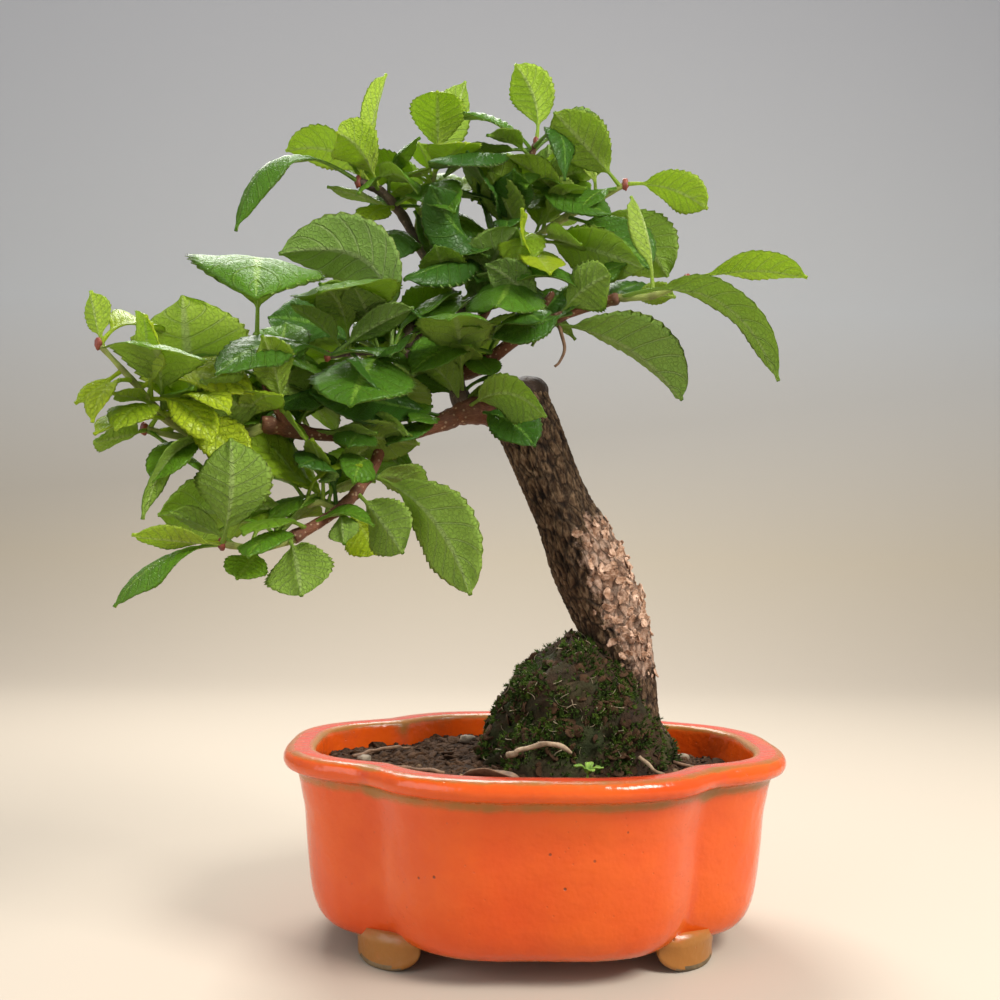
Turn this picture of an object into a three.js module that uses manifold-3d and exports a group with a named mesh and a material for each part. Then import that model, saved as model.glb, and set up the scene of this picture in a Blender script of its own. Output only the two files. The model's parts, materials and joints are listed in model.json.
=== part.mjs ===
// A young broad-leaved bonsai in a glazed four-lobed pot. Millimetres, +Z up.
// The origin is on the table under the middle of the pot; the pot's length runs along X
// and its front faces -Y. The chopped trunk leans left out of a mossy mound of roots. The
// stems follow short chains of points, and each leaf grows from its place on a stem.
import * as THREE from 'three';
import { mergeVertices } from 'three/addons/utils/BufferGeometryUtils.js';
import Module from 'manifold-3d';

const wasm = await Module();
wasm.setup();

// ---- driving dimensions ------------------------------------------------------------
const POT_LENGTH = 150;          // over the lip, along X
const POT_DEPTH = 121;           // over the lip, along Y
const POT_HEIGHT = 57;           // table to the top of the rim
const END_LOBE_DEPTH = 88;       // depth of the two end lobes
const FRONT_LOBE_LENGTH = 106;   // length of the front and back lobes
const LOBE_SQUARENESS = 3;       // superellipse power of each lobe
const CREASE_SHARPNESS = 22;     // how tightly two lobes meet in a crease
const FOOT_HEIGHT = 6.2;
const FLOOR_THICKNESS = 5;
const RIM_WIDTH = 9.6;           // from the lip's widest line to the inner wall
const WALL_TAPER = 4;            // how much the inner wall leans in on its way down
const DRAIN_RADIUS = 6;
const DRAIN_OFFSET = 24;         // the two drain holes sit at +-X
const SCREEN_SIZE = 20;
const SCREEN_THICKNESS = 1;
const SOIL_TOP = 50.5;
const SEAT_GAP = 0.3;            // clearance between touching pieces
const WELD = 0.06;               // corners closer than this are joined
const TWIG_SIDES = 6;
const LEAF_THICKNESS = 1.1;
const PETIOLE_SHARE = 0.16;      // first part of a leaf's midrib that is bare stalk
const PETIOLE_RADIUS = 0.6;

// ---- colours -----------------------------------------------------------------------
const finish = (color, roughness) =>
  new THREE.MeshStandardMaterial({ color, roughness, metalness: 0 });
const GLAZE = [0xe8731c, 0.15];
const SOIL = [0x3a2a1e, 0.95];
const SCREEN = [0x22262a, 0.5];
const MOSS = [0x39441c, 0.95];
const BARK = [0x6b4b30, 0.85];
const PASTE = [0x1f1712, 0.4];
const OLD_WOOD = [0x4a3a2c, 0.9];
const RED_TWIG = [0x8a4a2c, 0.6];
const GREEN_SHOOT = [0x93a94a, 0.5];
const LEAF = [0x4f7d24, 0.4];

// ---- solids ------------------------------------------------------------------------
const v3 = (x, y, z) => new THREE.Vector3(x, y, z);

// A closed body through equal rings of points, with both ends capped.
function loft(rings) {
  const n = rings[0].length;
  const points = rings.flat();
  const index = [];
  for (let k = 0; k + 1 < rings.length; k++) {
    for (let i = 0; i < n; i++) {
      const a = k * n + i;
      const b = k * n + (i + 1) % n;
      index.push(a, b, b + n, a, b + n, a + n);
    }
  }
  const last = (rings.length - 1) * n;
  for (let i = 1; i + 1 < n; i++) {
    index.push(0, i + 1, i);
    index.push(last, last + i, last + i + 1);
  }
  const geometry = new THREE.BufferGeometry().setFromPoints(points);
  geometry.setIndex(index);
  return geometry;
}

function toSolid(geometry) {
  const bare = geometry.clone();
  bare.deleteAttribute('normal');
  bare.deleteAttribute('uv');
  const merged = mergeVertices(bare, 1e-4);
  return new wasm.Manifold(new wasm.Mesh({
    numProp: 3,
    vertProperties: new Float32Array(merged.attributes.position.array),
    triVerts: new Uint32Array(merged.index.array),
  }));
}

// Back to a geometry: corners closer than the weld distance, which a cut can leave, become
// one, and the triangles that this folds to a line are dropped.
function toGeometry(solid) {
  const mesh = solid.getMesh();
  const raw = new THREE.BufferGeometry();
  raw.setAttribute('position', new THREE.BufferAttribute(mesh.vertProperties, 3));
  raw.setIndex(new THREE.BufferAttribute(mesh.triVerts, 1));
  const geometry = mergeVertices(raw, WELD);
  const corners = geometry.index.array;
  const kept = [];
  for (let i = 0; i < corners.length; i += 3) {
    const [a, b, c] = corners.slice(i, i + 3);
    if (a !== b && b !== c && c !== a) {
      kept.push(a, b, c);
    }
  }
  geometry.setIndex(kept);
  geometry.computeVertexNormals();
  return geometry;
}

const group = new THREE.Group();
function addNode(name, geometry, [color, roughness]) {
  const mesh = new THREE.Mesh(geometry, finish(color, roughness));
  mesh.name = name;
  group.add(mesh);
}

// ---- the pot -----------------------------------------------------------------------
const superellipse = (angle, halfX, halfY) => {
  const c = Math.abs(Math.cos(angle)) / halfX;
  const s = Math.abs(Math.sin(angle)) / halfY;
  return (c ** LOBE_SQUARENESS + s ** LOBE_SQUARENESS) ** (-1 / LOBE_SQUARENESS);
};

// Radius of the four-lobed lip: the outer of the end lobes and the front and back lobes.
function lipRadius(angle) {
  const ends = superellipse(angle, POT_LENGTH / 2, END_LOBE_DEPTH / 2);
  const sides = superellipse(angle, FRONT_LOBE_LENGTH / 2, POT_DEPTH / 2);
  const k = CREASE_SHARPNESS;
  return (ends ** k + sides ** k) ** (1 / k);
}

const POT_SEGMENTS = 60;
function lobedRing(inset, z) {
  const ring = [];
  for (let i = 0; i < POT_SEGMENTS; i++) {
    const angle = 2 * Math.PI * i / POT_SEGMENTS;
    const r = lipRadius(angle) - inset;
    ring.push(v3(r * Math.cos(angle), r * Math.sin(angle), z));
  }
  return ring;
}

const FLOOR_TOP = FOOT_HEIGHT + FLOOR_THICKNESS;
const INNER_BOTTOM_INSET = RIM_WIDTH + WALL_TAPER;
const innerInset = (z) =>
  INNER_BOTTOM_INSET - WALL_TAPER * (z - FLOOR_TOP) / (POT_HEIGHT - FLOOR_TOP);

// Profile of the wall as [inset from the lip, height]: belly, waist, rolled lip, inside.
const potProfile = [
  [22, FOOT_HEIGHT], [15, FOOT_HEIGHT + 0.6], [11, FOOT_HEIGHT + 4], [8, 24], [6.8, 38],
  [4.8, 46], [3.4, 50.3], [1, 51.8], [0, 53.8], [0.7, 55.8], [2.6, POT_HEIGHT],
  [RIM_WIDTH - 1.2, POT_HEIGHT], [RIM_WIDTH, POT_HEIGHT - 1.4],
  [INNER_BOTTOM_INSET, FLOOR_TOP],
];
let potSolid = toSolid(loft(potProfile.map(([inset, z]) => lobedRing(inset, z))));

// Four curved bracket feet, one under each crease, part of the same fired clay.
const FOOT_WIDTH = 6.5;
const FOOT_TOP = FOOT_HEIGHT + 2;
const footLine = new THREE.QuadraticBezierCurve3(v3(33, 32, 0), v3(45, 30, 0), v3(49, 18, 0));
function footBracket(mirrorX, mirrorY) {
  const shape = new THREE.Shape();
  const outer = [];
  const inner = [];
  for (let i = 0; i <= 6; i++) {
    const p = footLine.getPoint(i / 6);
    const t = footLine.getTangent(i / 6);
    const half = FOOT_WIDTH / 2;
    outer.push([p.x + t.y * -half, p.y + t.x * half]);
    inner.unshift([p.x + t.y * half, p.y + t.x * -half]);
  }
  shape.setFromPoints([...outer, ...inner].map(([x, y]) =>
    new THREE.Vector2(x * mirrorX, y * mirrorY)));
  return new THREE.ExtrudeGeometry(shape, { depth: FOOT_TOP, bevelEnabled: false });
}
for (const mirrorX of [1, -1]) {
  for (const mirrorY of [1, -1]) {
    potSolid = potSolid.add(toSolid(footBracket(mirrorX, mirrorY)));
  }
}
for (const side of [1, -1]) {
  const drain = new THREE.CylinderGeometry(DRAIN_RADIUS, DRAIN_RADIUS, 3 * FLOOR_THICKNESS, 24);
  drain.rotateX(Math.PI / 2);
  drain.translate(side * DRAIN_OFFSET, 0, FOOT_HEIGHT + FLOOR_THICKNESS / 2);
  potSolid = potSolid.subtract(toSolid(drain));
}
addNode('pot', toGeometry(potSolid), GLAZE);

// ---- drain screens and soil --------------------------------------------------------
const screenBox = (side, margin) => {
  const size = SCREEN_SIZE + 2 * margin;
  const box = new THREE.BoxGeometry(size, size, SCREEN_THICKNESS + 2 * margin);
  const middle = FLOOR_TOP + SEAT_GAP + SCREEN_THICKNESS / 2;
  return box.translate(side * DRAIN_OFFSET, 0, middle);
};
const soilInset = (z) => innerInset(z) + SEAT_GAP;
let soilSolid = toSolid(loft([
  lobedRing(soilInset(FLOOR_TOP), FLOOR_TOP + SEAT_GAP),
  lobedRing(soilInset(SOIL_TOP), SOIL_TOP - 0.5),
  lobedRing(soilInset(SOIL_TOP) + 6, SOIL_TOP),
]));
for (const side of [1, -1]) {
  soilSolid = soilSolid.subtract(toSolid(screenBox(side, SEAT_GAP)));
}
addNode('soil', toGeometry(soilSolid), SOIL);
addNode('drain_screen_right', screenBox(1, 0), SCREEN);
addNode('drain_screen_left', screenBox(-1, 0), SCREEN);

// ---- the woody stems ---------------------------------------------------------------
// Each stem is a chain of [x, y, z, radius] starting inside its parent, which it is cut
// back from by the seat gap; a short spur is part of the stem it grows on.
const STEMS = {
  trunk: { colour: BARK, sides: 14, points: [
    [31, 8, SOIL_TOP + SEAT_GAP, 12], [31, 8, 53, 11.5], [30, 8, 60, 10], [29, 7, 72, 9.5],
    [27, 6, 85, 10], [22, 5, 99, 11], [15, 3, 114, 11], [8, 2, 129, 9.5], [2, 1, 142, 9.5], [-3, 1, 154, 10],
    [-6, 1, 162, 9.5]] },
  main_branch: { parent: 'trunk', colour: RED_TWIG, sides: 8, points: [
    [-9, 0, 156, 5.5], [-16, -2, 158, 4.5], [-23, -4, 157, 3], [-33, -8, 152, 2.2],
    [-42, -11, 149, 1.9], [-54, -16, 148, 1.8], [-66, -22, 148, 1.8], [-80, -29, 150, 2.2]] },
  left_shoot: { parent: 'main_branch', colour: GREEN_SHOOT, points: [
    [-78, -28, 150, 1.4], [-86, -31, 146, 1.3], [-98, -35, 145, 1.1], [-110, -38, 147, 0.9]] },
  young_shoot: { parent: 'left_shoot', colour: GREEN_SHOOT, points: [
    [-97, -35, 145, 1.1], [-105, -41, 151, 1.1], [-110, -47, 158, 0.8], [-119, -50, 168, 0.6]] },
  upright_branchlet: { parent: 'main_branch', colour: RED_TWIG, points: [
    [-73, -26, 149.5, 1.8], [-78, -30, 160, 1.5], [-81, -33, 169, 1.3]] },
  lower_branch: { parent: 'main_branch', colour: RED_TWIG, points: [
    [-47, -13, 148, 1.9], [-49, -16, 140, 1.7], [-54, -21, 131, 1.5], [-61, -27, 124, 1.5],
    [-70, -32, 118, 1.7]] },
  lower_shoot: { parent: 'lower_branch', colour: GREEN_SHOOT, points: [
    [-69, -31.5, 118, 1.1], [-78, -36, 115, 1], [-88, -39, 116, 0.8]] },
  side_shoot: { partOf: 'lower_branch', points: [
    [-59, -25, 126, 1.1], [-63, -28, 128, 0.9], [-67, -29, 127, 0.8]] },
  centre_stem: { parent: 'main_branch', colour: OLD_WOOD, sides: 7, points: [
    [-22, -3.5, 157, 3], [-25, 0, 165, 2.4], [-25, 2, 173, 2.5], [-22, 5, 183, 2.6],
    [-24, 8, 191, 2.1], [-32, 13, 203, 1.7], [-39, 14, 214, 1.5], [-44, 13, 223, 1.4],
    [-51, 11, 230, 1.3], [-58, 8, 232, 1.1]] },
  old_stub: { parent: 'centre_stem', colour: OLD_WOOD, sides: 7, points: [
    [-23.5, 3, 177, 2.4], [-30, -2, 175, 2], [-36, -4, 178, 3.6], [-40, -5, 180, 4.6],
    [-43, -6, 181, 3.6]] },
  left_twig: { parent: 'old_stub', colour: OLD_WOOD, points: [
    [-34, -4.5, 176, 1.2], [-40, -9, 174, 1.1], [-50, -13, 174, 1], [-63, -20, 171, 0.8]] },
  right_branch: { parent: 'centre_stem', colour: RED_TWIG, sides: 7, points: [
    [-24, 1.5, 170, 2.5], [-18, 0, 172, 2.3], [-10, -4, 178, 1.9], [0, -8, 184, 1.5],
    [12, -12, 188, 1.3], [23, -16, 191, 1.6]] },
  right_tip: { parent: 'right_branch', colour: GREEN_SHOOT, points: [
    [22, -15.5, 191, 1], [32, -19, 191, 0.9], [42, -22, 195, 0.8]] },
  pruned_stub: { partOf: 'right_branch', points: [
    [-5, -6, 181, 1.4], [0, -5, 189, 1.2], [4, -4, 195, 1.1]] },
  crown_stem: { parent: 'centre_stem', colour: OLD_WOOD, points: [
    [-22, 5, 183, 1.8], [-16, 11, 193, 1.6], [-12, 14, 205, 1.4], [-8, 14, 222, 1.2],
    [-4, 13, 238, 1], [-1, 12, 248, 0.8]] },
  upper_right: { parent: 'crown_stem', colour: GREEN_SHOOT, points: [
    [-13, 13, 201, 1.3], [-6, 14, 212, 1.3], [5, 13, 221, 1.1], [17, 12, 228, 1.1],
    [28, 10, 234, 0.8]] },
  top_left: { parent: 'centre_stem', colour: GREEN_SHOOT, points: [
    [-40, 14, 215, 1.2], [-38, 17, 225, 1.1], [-33, 18, 242, 0.8]] },
};

// Rings around a chain of points; every stem runs mostly in the X-Z plane, so Y is the aid.
// A margin makes the stem larger all round, and longer at both ends.
function stemRings(stem, margin = 0) {
  const sides = stem.sides ?? TWIG_SIDES;
  const aid = v3(0, 1, 0);
  const last = stem.points.length - 1;
  return stem.points.map(([x, y, z, radius], i) => {
    const before = stem.points[Math.max(i - 1, 0)];
    const after = stem.points[Math.min(i + 1, last)];
    const along = v3(after[0] - before[0], after[1] - before[1], after[2] - before[2]);
    along.normalize();
    const across = v3().crossVectors(aid, along).normalize();
    const out = v3().crossVectors(along, across);
    const stretch = i === 0 ? -margin : (i === last ? margin : 0);
    const middle = v3(x, y, z).addScaledVector(along, stretch);
    const ring = [];
    for (let k = 0; k < sides; k++) {
      const angle = 2 * Math.PI * k / sides;
      const r = radius + margin;
      ring.push(middle.clone().addScaledVector(across, r * Math.cos(angle))
        .addScaledVector(out, r * Math.sin(angle)));
    }
    return ring;
  });
}
const stemSolid = (name, margin) => toSolid(loft(stemRings(STEMS[name], margin)));

// The place a share of the way along a stem's chain, as [x, y, z].
function alongStem(name, share) {
  const { points } = STEMS[name];
  const steps = points.slice(1).map((p, i) =>
    Math.hypot(p[0] - points[i][0], p[1] - points[i][1], p[2] - points[i][2]));
  let left = share * steps.reduce((sum, d) => sum + d, 0);
  let i = 0;
  while (i < steps.length - 1 && left > steps[i]) {
    left -= steps[i];
    i += 1;
  }
  const t = Math.min(left / steps[i], 1);
  return points[i].slice(0, 3).map((value, k) => value + t * (points[i + 1][k] - value));
}

// ---- the leaves --------------------------------------------------------------------
// [name, stem, share along it, length, heading, climb, arch, blade width,
//  direction the upper side faces, how far the edges rise (share of the half width)]
// Heading and climb are in degrees: 0 points right along X, 90 to the back, and climb is up
// from level. Arch is how far the midrib bows up out of the straight line to its tip.
// Leaves with a name of their own are nodes; a null name is joined to its stem.
const LEAVES = [
  ['leaf_right_1', 'right_tip', 0.95, 35, -15, 0, 3, 14, [0, 0.35, 0.9], 0.3],
  ['leaf_right_2', 'right_branch', 1, 58, -40, -30, 12, 17, [0.45, 0.35, 0.8], 0.25],
  ['leaf_right_3', 'right_branch', 0.55, 50, -25, -30, 6, 23, [0.5, 0.4, 0.75], 0.5],
  ['leaf_right_4', 'upper_right', 0.8, 27, -110, 75, 1, 13, [-0.7, 0.6, 0.2], 0.5],
  ['leaf_right_5', 'upper_right', 1, 28, -15, -20, 3, 15, [0, 0.6, 0.8], 0.1],
  ['leaf_right_6', 'upper_right', 0.75, 35, 5, -40, 3, 22, [0.3, 0.9, 0.2], 0.1],
  [null, 'right_tip', 0.5, 35, 115, 70, 3, 9, [-0.6, 0.7, 0.3], 0.6],
  ['leaf_right_7', 'upper_right', 0.6, 35, -30, -35, 3, 20, [0.1, -0.85, 0.5], 0.15],
  ['leaf_right_8', 'upper_right', 0.35, 47, -45, -20, 2, 18, [0, 0.85, 0.5], -0.6],
  ['leaf_right_9', 'right_branch', 0.65, 21, -40, 30, 2, 17, [0.2, 0.9, -0.1], 0.2],
  [null, 'right_branch', 0.9, 25, 50, 25, 1, 16, [0, -0.5, 0.8], 0],
  [null, 'right_branch', 0.5, 17, 35, 50, 1, 10, [0, -0.9, 0.3], 0],
  [null, 'crown_stem', 0.85, 26, 0, 15, 3, 7, [0, 0.3, 1], 0.3],
  [null, 'upper_right', 0.7, 13, -160, 30, 1, 9, [0, 0.8, 0.4], 0.2],
  [null, 'right_tip', 0.1, 17, 15, 5, 1, 9, [0, 0.6, 0.7], 0.2],
  ['leaf_crown_1', 'crown_stem', 1, 25, -150, 70, 4, 15, [0.2, 0.9, 0.2], 0.15],
  ['leaf_crown_2', 'top_left', 1, 24, -90, 45, 4, 18, [0, 0.7, 0.7], 0.2],
  ['leaf_crown_3', 'top_left', 0.8, 39, 40, 70, 0, 15, [-0.3, 0.8, 0.3], 0.3],
  [null, 'crown_stem', 0.95, 27, -150, 15, 4, 17, [0, -0.45, 0.9], -0.2],
  ['leaf_crown_4', 'crown_stem', 0.9, 46, -135, -15, 3, 18, [0, -0.3, 0.95], -0.5],
  ['leaf_crown_5', 'upper_right', 0.35, 36, 55, 75, -3, 21, [0.2, 0.95, 0.1], 0.1],
  [null, 'crown_stem', 0.97, 26, -65, -40, 10, 13, [0.4, -0.3, 0.8], -0.2],
  [null, 'top_left', 0.75, 18, 30, 20, -3, 12, [0, -0.5, 0.8], 0],
  ['leaf_crown_6', 'crown_stem', 0.5, 39, -130, 15, -7, 19, [-0.35, -0.8, 0.45], -0.2],
  [null, 'centre_stem', 0.87, 22, -40, 55, 6, 8, [-0.6, 0.2, 0.7], -0.5],
  [null, 'top_left', 0.3, 26, 145, 60, 1, 13, [0, -0.8, 0.5], 0],
  [null, 'top_left', 0.8, 13, -120, 45, 1, 8, [0.3, 0.9, 0], 0.2],
  [null, 'crown_stem', 0.57, 24, -90, 35, 0, 14, [0, -0.9, 0.3], 0.1],
  [null, 'crown_stem', 0.4, 31, -145, 70, 0, 12, [0.85, -0.3, 0.2], 0],
  [null, 'upper_right', 0.3, 40, -95, 0, -5, 10, [0.3, -0.9, 0.2], 0.1],
  [null, 'upper_right', 0.32, 48, -85, -25, 0, 14, [0.1, -0.9, 0.3], 0.15],
  ['leaf_crown_7', 'upper_right', 0.25, 58, -100, -30, -2, 24, [-0.1, -0.75, 0.6], -0.35],
  ['leaf_middle_1', 'right_branch', 0.15, 37, -65, 10, 8, 18, [0, -0.75, 0.6], -0.2],
  ['leaf_middle_2', 'centre_stem', 0.05, 47, -95, 20, 12, 23, [0, 0.2, 0.95], -0.2],
  ['leaf_middle_3', 'crown_stem', 0.45, 50, -130, -20, 2, 16, [0, -0.45, 0.9], -0.5],
  ['leaf_middle_4', 'left_twig', 0.55, 37, -110, 15, 10, 33, [0, 0.2, 0.95], -0.1],
  ['leaf_middle_5', 'left_twig', 0.45, 42, -100, -30, 3, 30, [0, -0.7, 0.7], -0.15],
  ['leaf_middle_6', 'main_branch', 0.25, 46, -150, 5, 1, 21, [0, -0.8, 0.5], 0.1],
  ['leaf_middle_7', 'left_twig', 0.65, 33, 165, 20, 3, 22, [0, -0.85, 0.45], 0.1],
  ['leaf_upper_left_1', 'left_twig', 0.4, 44, -175, 40, 16, 22, [0.2, 0.8, 0.5], 0.3],
  ['leaf_upper_left_2', 'centre_stem', 1, 47, -145, -30, 15, 14, [-0.3, -0.3, 0.9], -0.5],
  ['leaf_upper_left_3', 'centre_stem', 0.95, 33, 165, 25, 6, 17, [0, 0.5, 0.8], 0.1],
  [null, 'centre_stem', 0.92, 28, -115, 20, 4, 16, [0, 0.9, 0.3], 0.3],
  [null, 'centre_stem', 0.99, 44, 65, 70, 2, 10, [-0.8, 0.4, 0.2], 0.3],
  [null, 'centre_stem', 0.97, 21, 105, 45, 1, 12, [0, 0.9, 0.2], 0],
  [null, 'centre_stem', 0.84, 18, -125, -30, 2, 12, [-0.2, -0.8, 0.4], 0],
  [null, 'centre_stem', 0.8, 15, 150, 20, 3, 12, [0, -0.8, 0.5], 0],
  ['leaf_upper_left_4', 'centre_stem', 0.7, 26, -115, -30, 7, 20, [-0.1, -0.7, 0.6], -0.3],
  ['leaf_left_1', 'upright_branchlet', 1, 33, -80, 15, 20, 36, [0, 0.3, 1], -0.1],
  ['leaf_left_2', 'left_shoot', 0.6, 41, 145, 80, 0, 35, [0, 0.95, 0.2], 0.2],
  ['leaf_left_3', 'young_shoot', 0.3, 36, -80, 20, 8, 26, [0, 0.4, 0.9], -0.1],
  ['leaf_left_4', 'left_twig', 0.97, 45, -125, -15, 6, 16, [-0.1, -0.85, 0.5], -0.2],
  [null, 'left_shoot', 0.97, 16, -130, -15, 0, 17, [0, 0.6, 0.8], 0.1],
  [null, 'young_shoot', 0.25, 24, -125, -15, 2, 10, [0, -0.3, 0.9], 0.2],
  ['leaf_left_5', 'left_shoot', 0.35, 37, -125, -40, 8, 14, [-0.7, 0.2, 0.7], -0.2],
  ['leaf_low_1', 'lower_shoot', 1, 29, -65, 75, -6, 21, [0, 0.95, 0.15], 0.1],
  ['leaf_low_2', 'side_shoot', 0.9, 41, -170, -5, 0, 22, [0, 0.85, 0.5], 0.1],
  [null, 'lower_shoot', 0.95, 25, -150, 5, 0, 12, [0, 0.5, 0.85], 0],
  ['leaf_low_3', 'lower_shoot', 0.9, 34, -170, -30, 5, 15, [-0.2, -0.35, 0.9], -0.3],
  [null, 'lower_shoot', 0.05, 28, -105, -10, 4, 15, [-0.3, -0.7, 0.6], -0.2],
  [null, 'lower_shoot', 0.5, 16, -105, -30, 0, 12, [0, -0.9, 0.3], 0],
  [null, 'lower_shoot', 0.1, 23, -70, -40, 2, 19, [0, 0.95, -0.1], 0.1],
  [null, 'side_shoot', 0.95, 27, 165, 30, 4, 12, [0, 0.6, 0.7], 0.3],
  [null, 'lower_branch', 0.65, 22, -115, 30, 8, 15, [0, -0.7, 0.6], -0.1],
  ['leaf_low_4', 'lower_branch', 0.3, 52, -40, -40, 7, 22, [0.35, 0.85, 0.35], 0.1],
  [null, 'lower_branch', 0.45, 27, -45, -40, 1, 17, [0.3, 0.9, 0.2], 0.1],
  [null, 'lower_branch', 0.55, 20, 50, -50, 0, 15, [0.2, -0.9, 0.2], 0],
  [null, 'lower_branch', 0.6, 19, -80, -35, 0, 9, [0, 0.9, 0.2], 0.1],
  [null, 'main_branch', 0.45, 22, 110, -45, 0, 18, [0, -0.9, 0.3], 0],
  [null, 'main_branch', 0.65, 18, 105, -45, 0, 15, [0, -0.9, 0.3], 0],
  [null, 'main_branch', 0.85, 25, 125, -30, 2, 22, [0, -0.9, 0.3], 0],
  [null, 'main_branch', 0.88, 28, 85, 40, 0, 18, [0, -0.9, 0.2], 0],
  [null, 'upright_branchlet', 0.4, 25, -130, 5, -4, 17, [0, 0.95, 0.2], 0.1],
  [null, 'upright_branchlet', 0.5, 17, 125, 20, 0, 13, [0, 0.9, 0.1], 0],
  [null, 'left_shoot', 0.2, 23, 130, 15, 2, 15, [0, -0.9, 0.3], 0],
  [null, 'upright_branchlet', 0.35, 17, 60, 65, -2, 14, [0, 0.9, 0.3], 0.2],
  [null, 'left_twig', 0.3, 27, 130, 30, 1, 20, [0, 0.9, 0.2], 0.1],
  [null, 'main_branch', 0.28, 19, -120, -5, 1, 9, [0, -0.7, 0.6], 0],
  ['leaf_middle_8', 'main_branch', 0.2, 32, -40, -5, 7, 17, [0.2, 0.75, 0.6], -0.4],
  [null, 'main_branch', 0.15, 28, -45, -25, 3, 16, [0.1, -0.8, 0.5], 0],
  [null, 'centre_stem', 0.07, 21, -35, 0, 5, 9, [0, -0.5, 0.85], 0],
  [null, 'centre_stem', 0.08, 23, 125, 40, 0, 12, [0, -0.9, 0.3], 0],
  [null, 'centre_stem', 0.06, 19, 160, 20, 1, 7, [0, -0.9, 0.3], 0],
  [null, 'young_shoot', 0.95, 17, 145, 70, 0, 9, [0.3, 0.9, 0.2], 0.2],
  [null, 'young_shoot', 0.65, 20, -110, -40, 4, 11, [-0.5, -0.8, 0.2], 0.1],
  [null, 'young_shoot', 0.75, 15, -160, -40, 0, 8, [0, -0.6, 0.7], 0],
  [null, 'young_shoot', 0.4, 15, -115, 5, 1, 8, [0, 0.7, 0.6], 0],
];

// Half the leaf's width a share of the way along: bare stalk, then widest past the middle.
function halfWidth(share, width) {
  const blade = Math.max(share - PETIOLE_SHARE, 0) / (1 - PETIOLE_SHARE);
  return Math.max(PETIOLE_RADIUS, width / 2 * Math.sin(Math.PI * blade ** 1.25) ** 0.8);
}

// A leaf's midrib: a straight reach from its place on the stem, bowed up by its arch.
function midribOf(stem, share, length, heading, climb, arch) {
  const turn = THREE.MathUtils.degToRad(heading);
  const tilt = THREE.MathUtils.degToRad(climb);
  const reach = v3(Math.cos(turn) * Math.cos(tilt), Math.sin(turn) * Math.cos(tilt), Math.sin(tilt));
  const bow = v3(0, 0, 1).addScaledVector(reach, -reach.z).normalize();
  const start = v3(...alongStem(stem, share));
  const end = start.clone().addScaledVector(reach, length);
  const control = start.clone().lerp(end, 0.5).addScaledVector(bow, 2 * arch);
  return new THREE.QuadraticBezierCurve3(start, control, end);
}

const LEAF_STATIONS = [0, 0.16, 0.32, 0.5, 0.68, 0.86, 1];
function leafSolid([, stem, share, length, heading, climb, arch, width, face, rise], margin = 0) {
  const midrib = midribOf(stem, share, length, heading, climb, arch);
  const up = v3(...face).normalize();
  return toSolid(loft(LEAF_STATIONS.map((s) => {
    const p = midrib.getPoint(s);
    const along = midrib.getTangent(s);
    const side = v3().crossVectors(along, up).normalize();
    const normal = v3().crossVectors(side, along);
    const half = halfWidth(s, width) + margin;
    const lift = s > PETIOLE_SHARE ? rise * half : 0;
    const thick = LEAF_THICKNESS / 2 + margin;
    const edge = (sign) => p.clone().addScaledVector(side, sign * half)
      .addScaledVector(normal, lift);
    return [edge(-1), p.clone().addScaledVector(normal, thick), edge(1),
      p.clone().addScaledVector(normal, -thick)];
  })));
}

// ---- building the tree -------------------------------------------------------------
// Everything that one stem's node is made of: the stem, its spurs and the leaves they carry.
function stemParts(name, margin) {
  const spurs = Object.keys(STEMS).filter((other) => STEMS[other].partOf === name);
  const carried = LEAVES.filter(([own, home]) =>
    own === null && (home === name || spurs.includes(home)));
  return [stemSolid(name, margin), ...spurs.map((spur) => stemSolid(spur, margin)),
    ...carried.map((leaf) => leafSolid(leaf, margin))];
}
const join = (solids) => solids.reduce((whole, solid) => whole.add(solid));
const cutBack = (solid, others) => solid.subtract(join(others));

const nodeOf = (stem) => STEMS[stem].partOf ?? stem;
for (const [name, stem] of Object.entries(STEMS).filter(([, row]) => !row.partOf)) {
  const whole = join(stemParts(name, 0));
  const parent = stem.parent ? stemParts(stem.parent, SEAT_GAP) : [];
  addNode(name, toGeometry(parent.length ? cutBack(whole, parent) : whole), stem.colour);
}

// A leaf with its own node is cut back from the stems that meet where it grows.
for (const leaf of LEAVES.filter((row) => row[0] !== null)) {
  const home = nodeOf(leaf[1]);
  const meeting = Object.keys(STEMS).filter((other) => !STEMS[other].partOf
    && (other === home || STEMS[other].parent === home || STEMS[home].parent === other));
  const clearance = meeting.flatMap((stem) => stemParts(stem, SEAT_GAP));
  addNode(leaf[0], toGeometry(cutBack(leafSolid(leaf), clearance)), LEAF);
}

// The chopped top of the trunk is sealed with a dark cap of wound paste, cut back from the
// main branch that leaves just below it.
const trunkEnd = STEMS.trunk.points.slice(-2).map(([x, y, z]) => v3(x, y, z));
const trunkAxis = trunkEnd[1].clone().sub(trunkEnd[0]).normalize();
const CAP = [[0.4, 9], [2.2, 9.8], [4.6, 8.4], [6.2, 4]];   // [height, radius]
const capChain = CAP.map(([height, radius]) =>
  [...trunkEnd[1].clone().addScaledVector(trunkAxis, height).toArray(), radius]);
addNode('wound_paste_cap', toGeometry(
  toSolid(loft(stemRings({ sides: 14, points: capChain })))
    .subtract(stemSolid('main_branch', SEAT_GAP))), PASTE);

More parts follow.
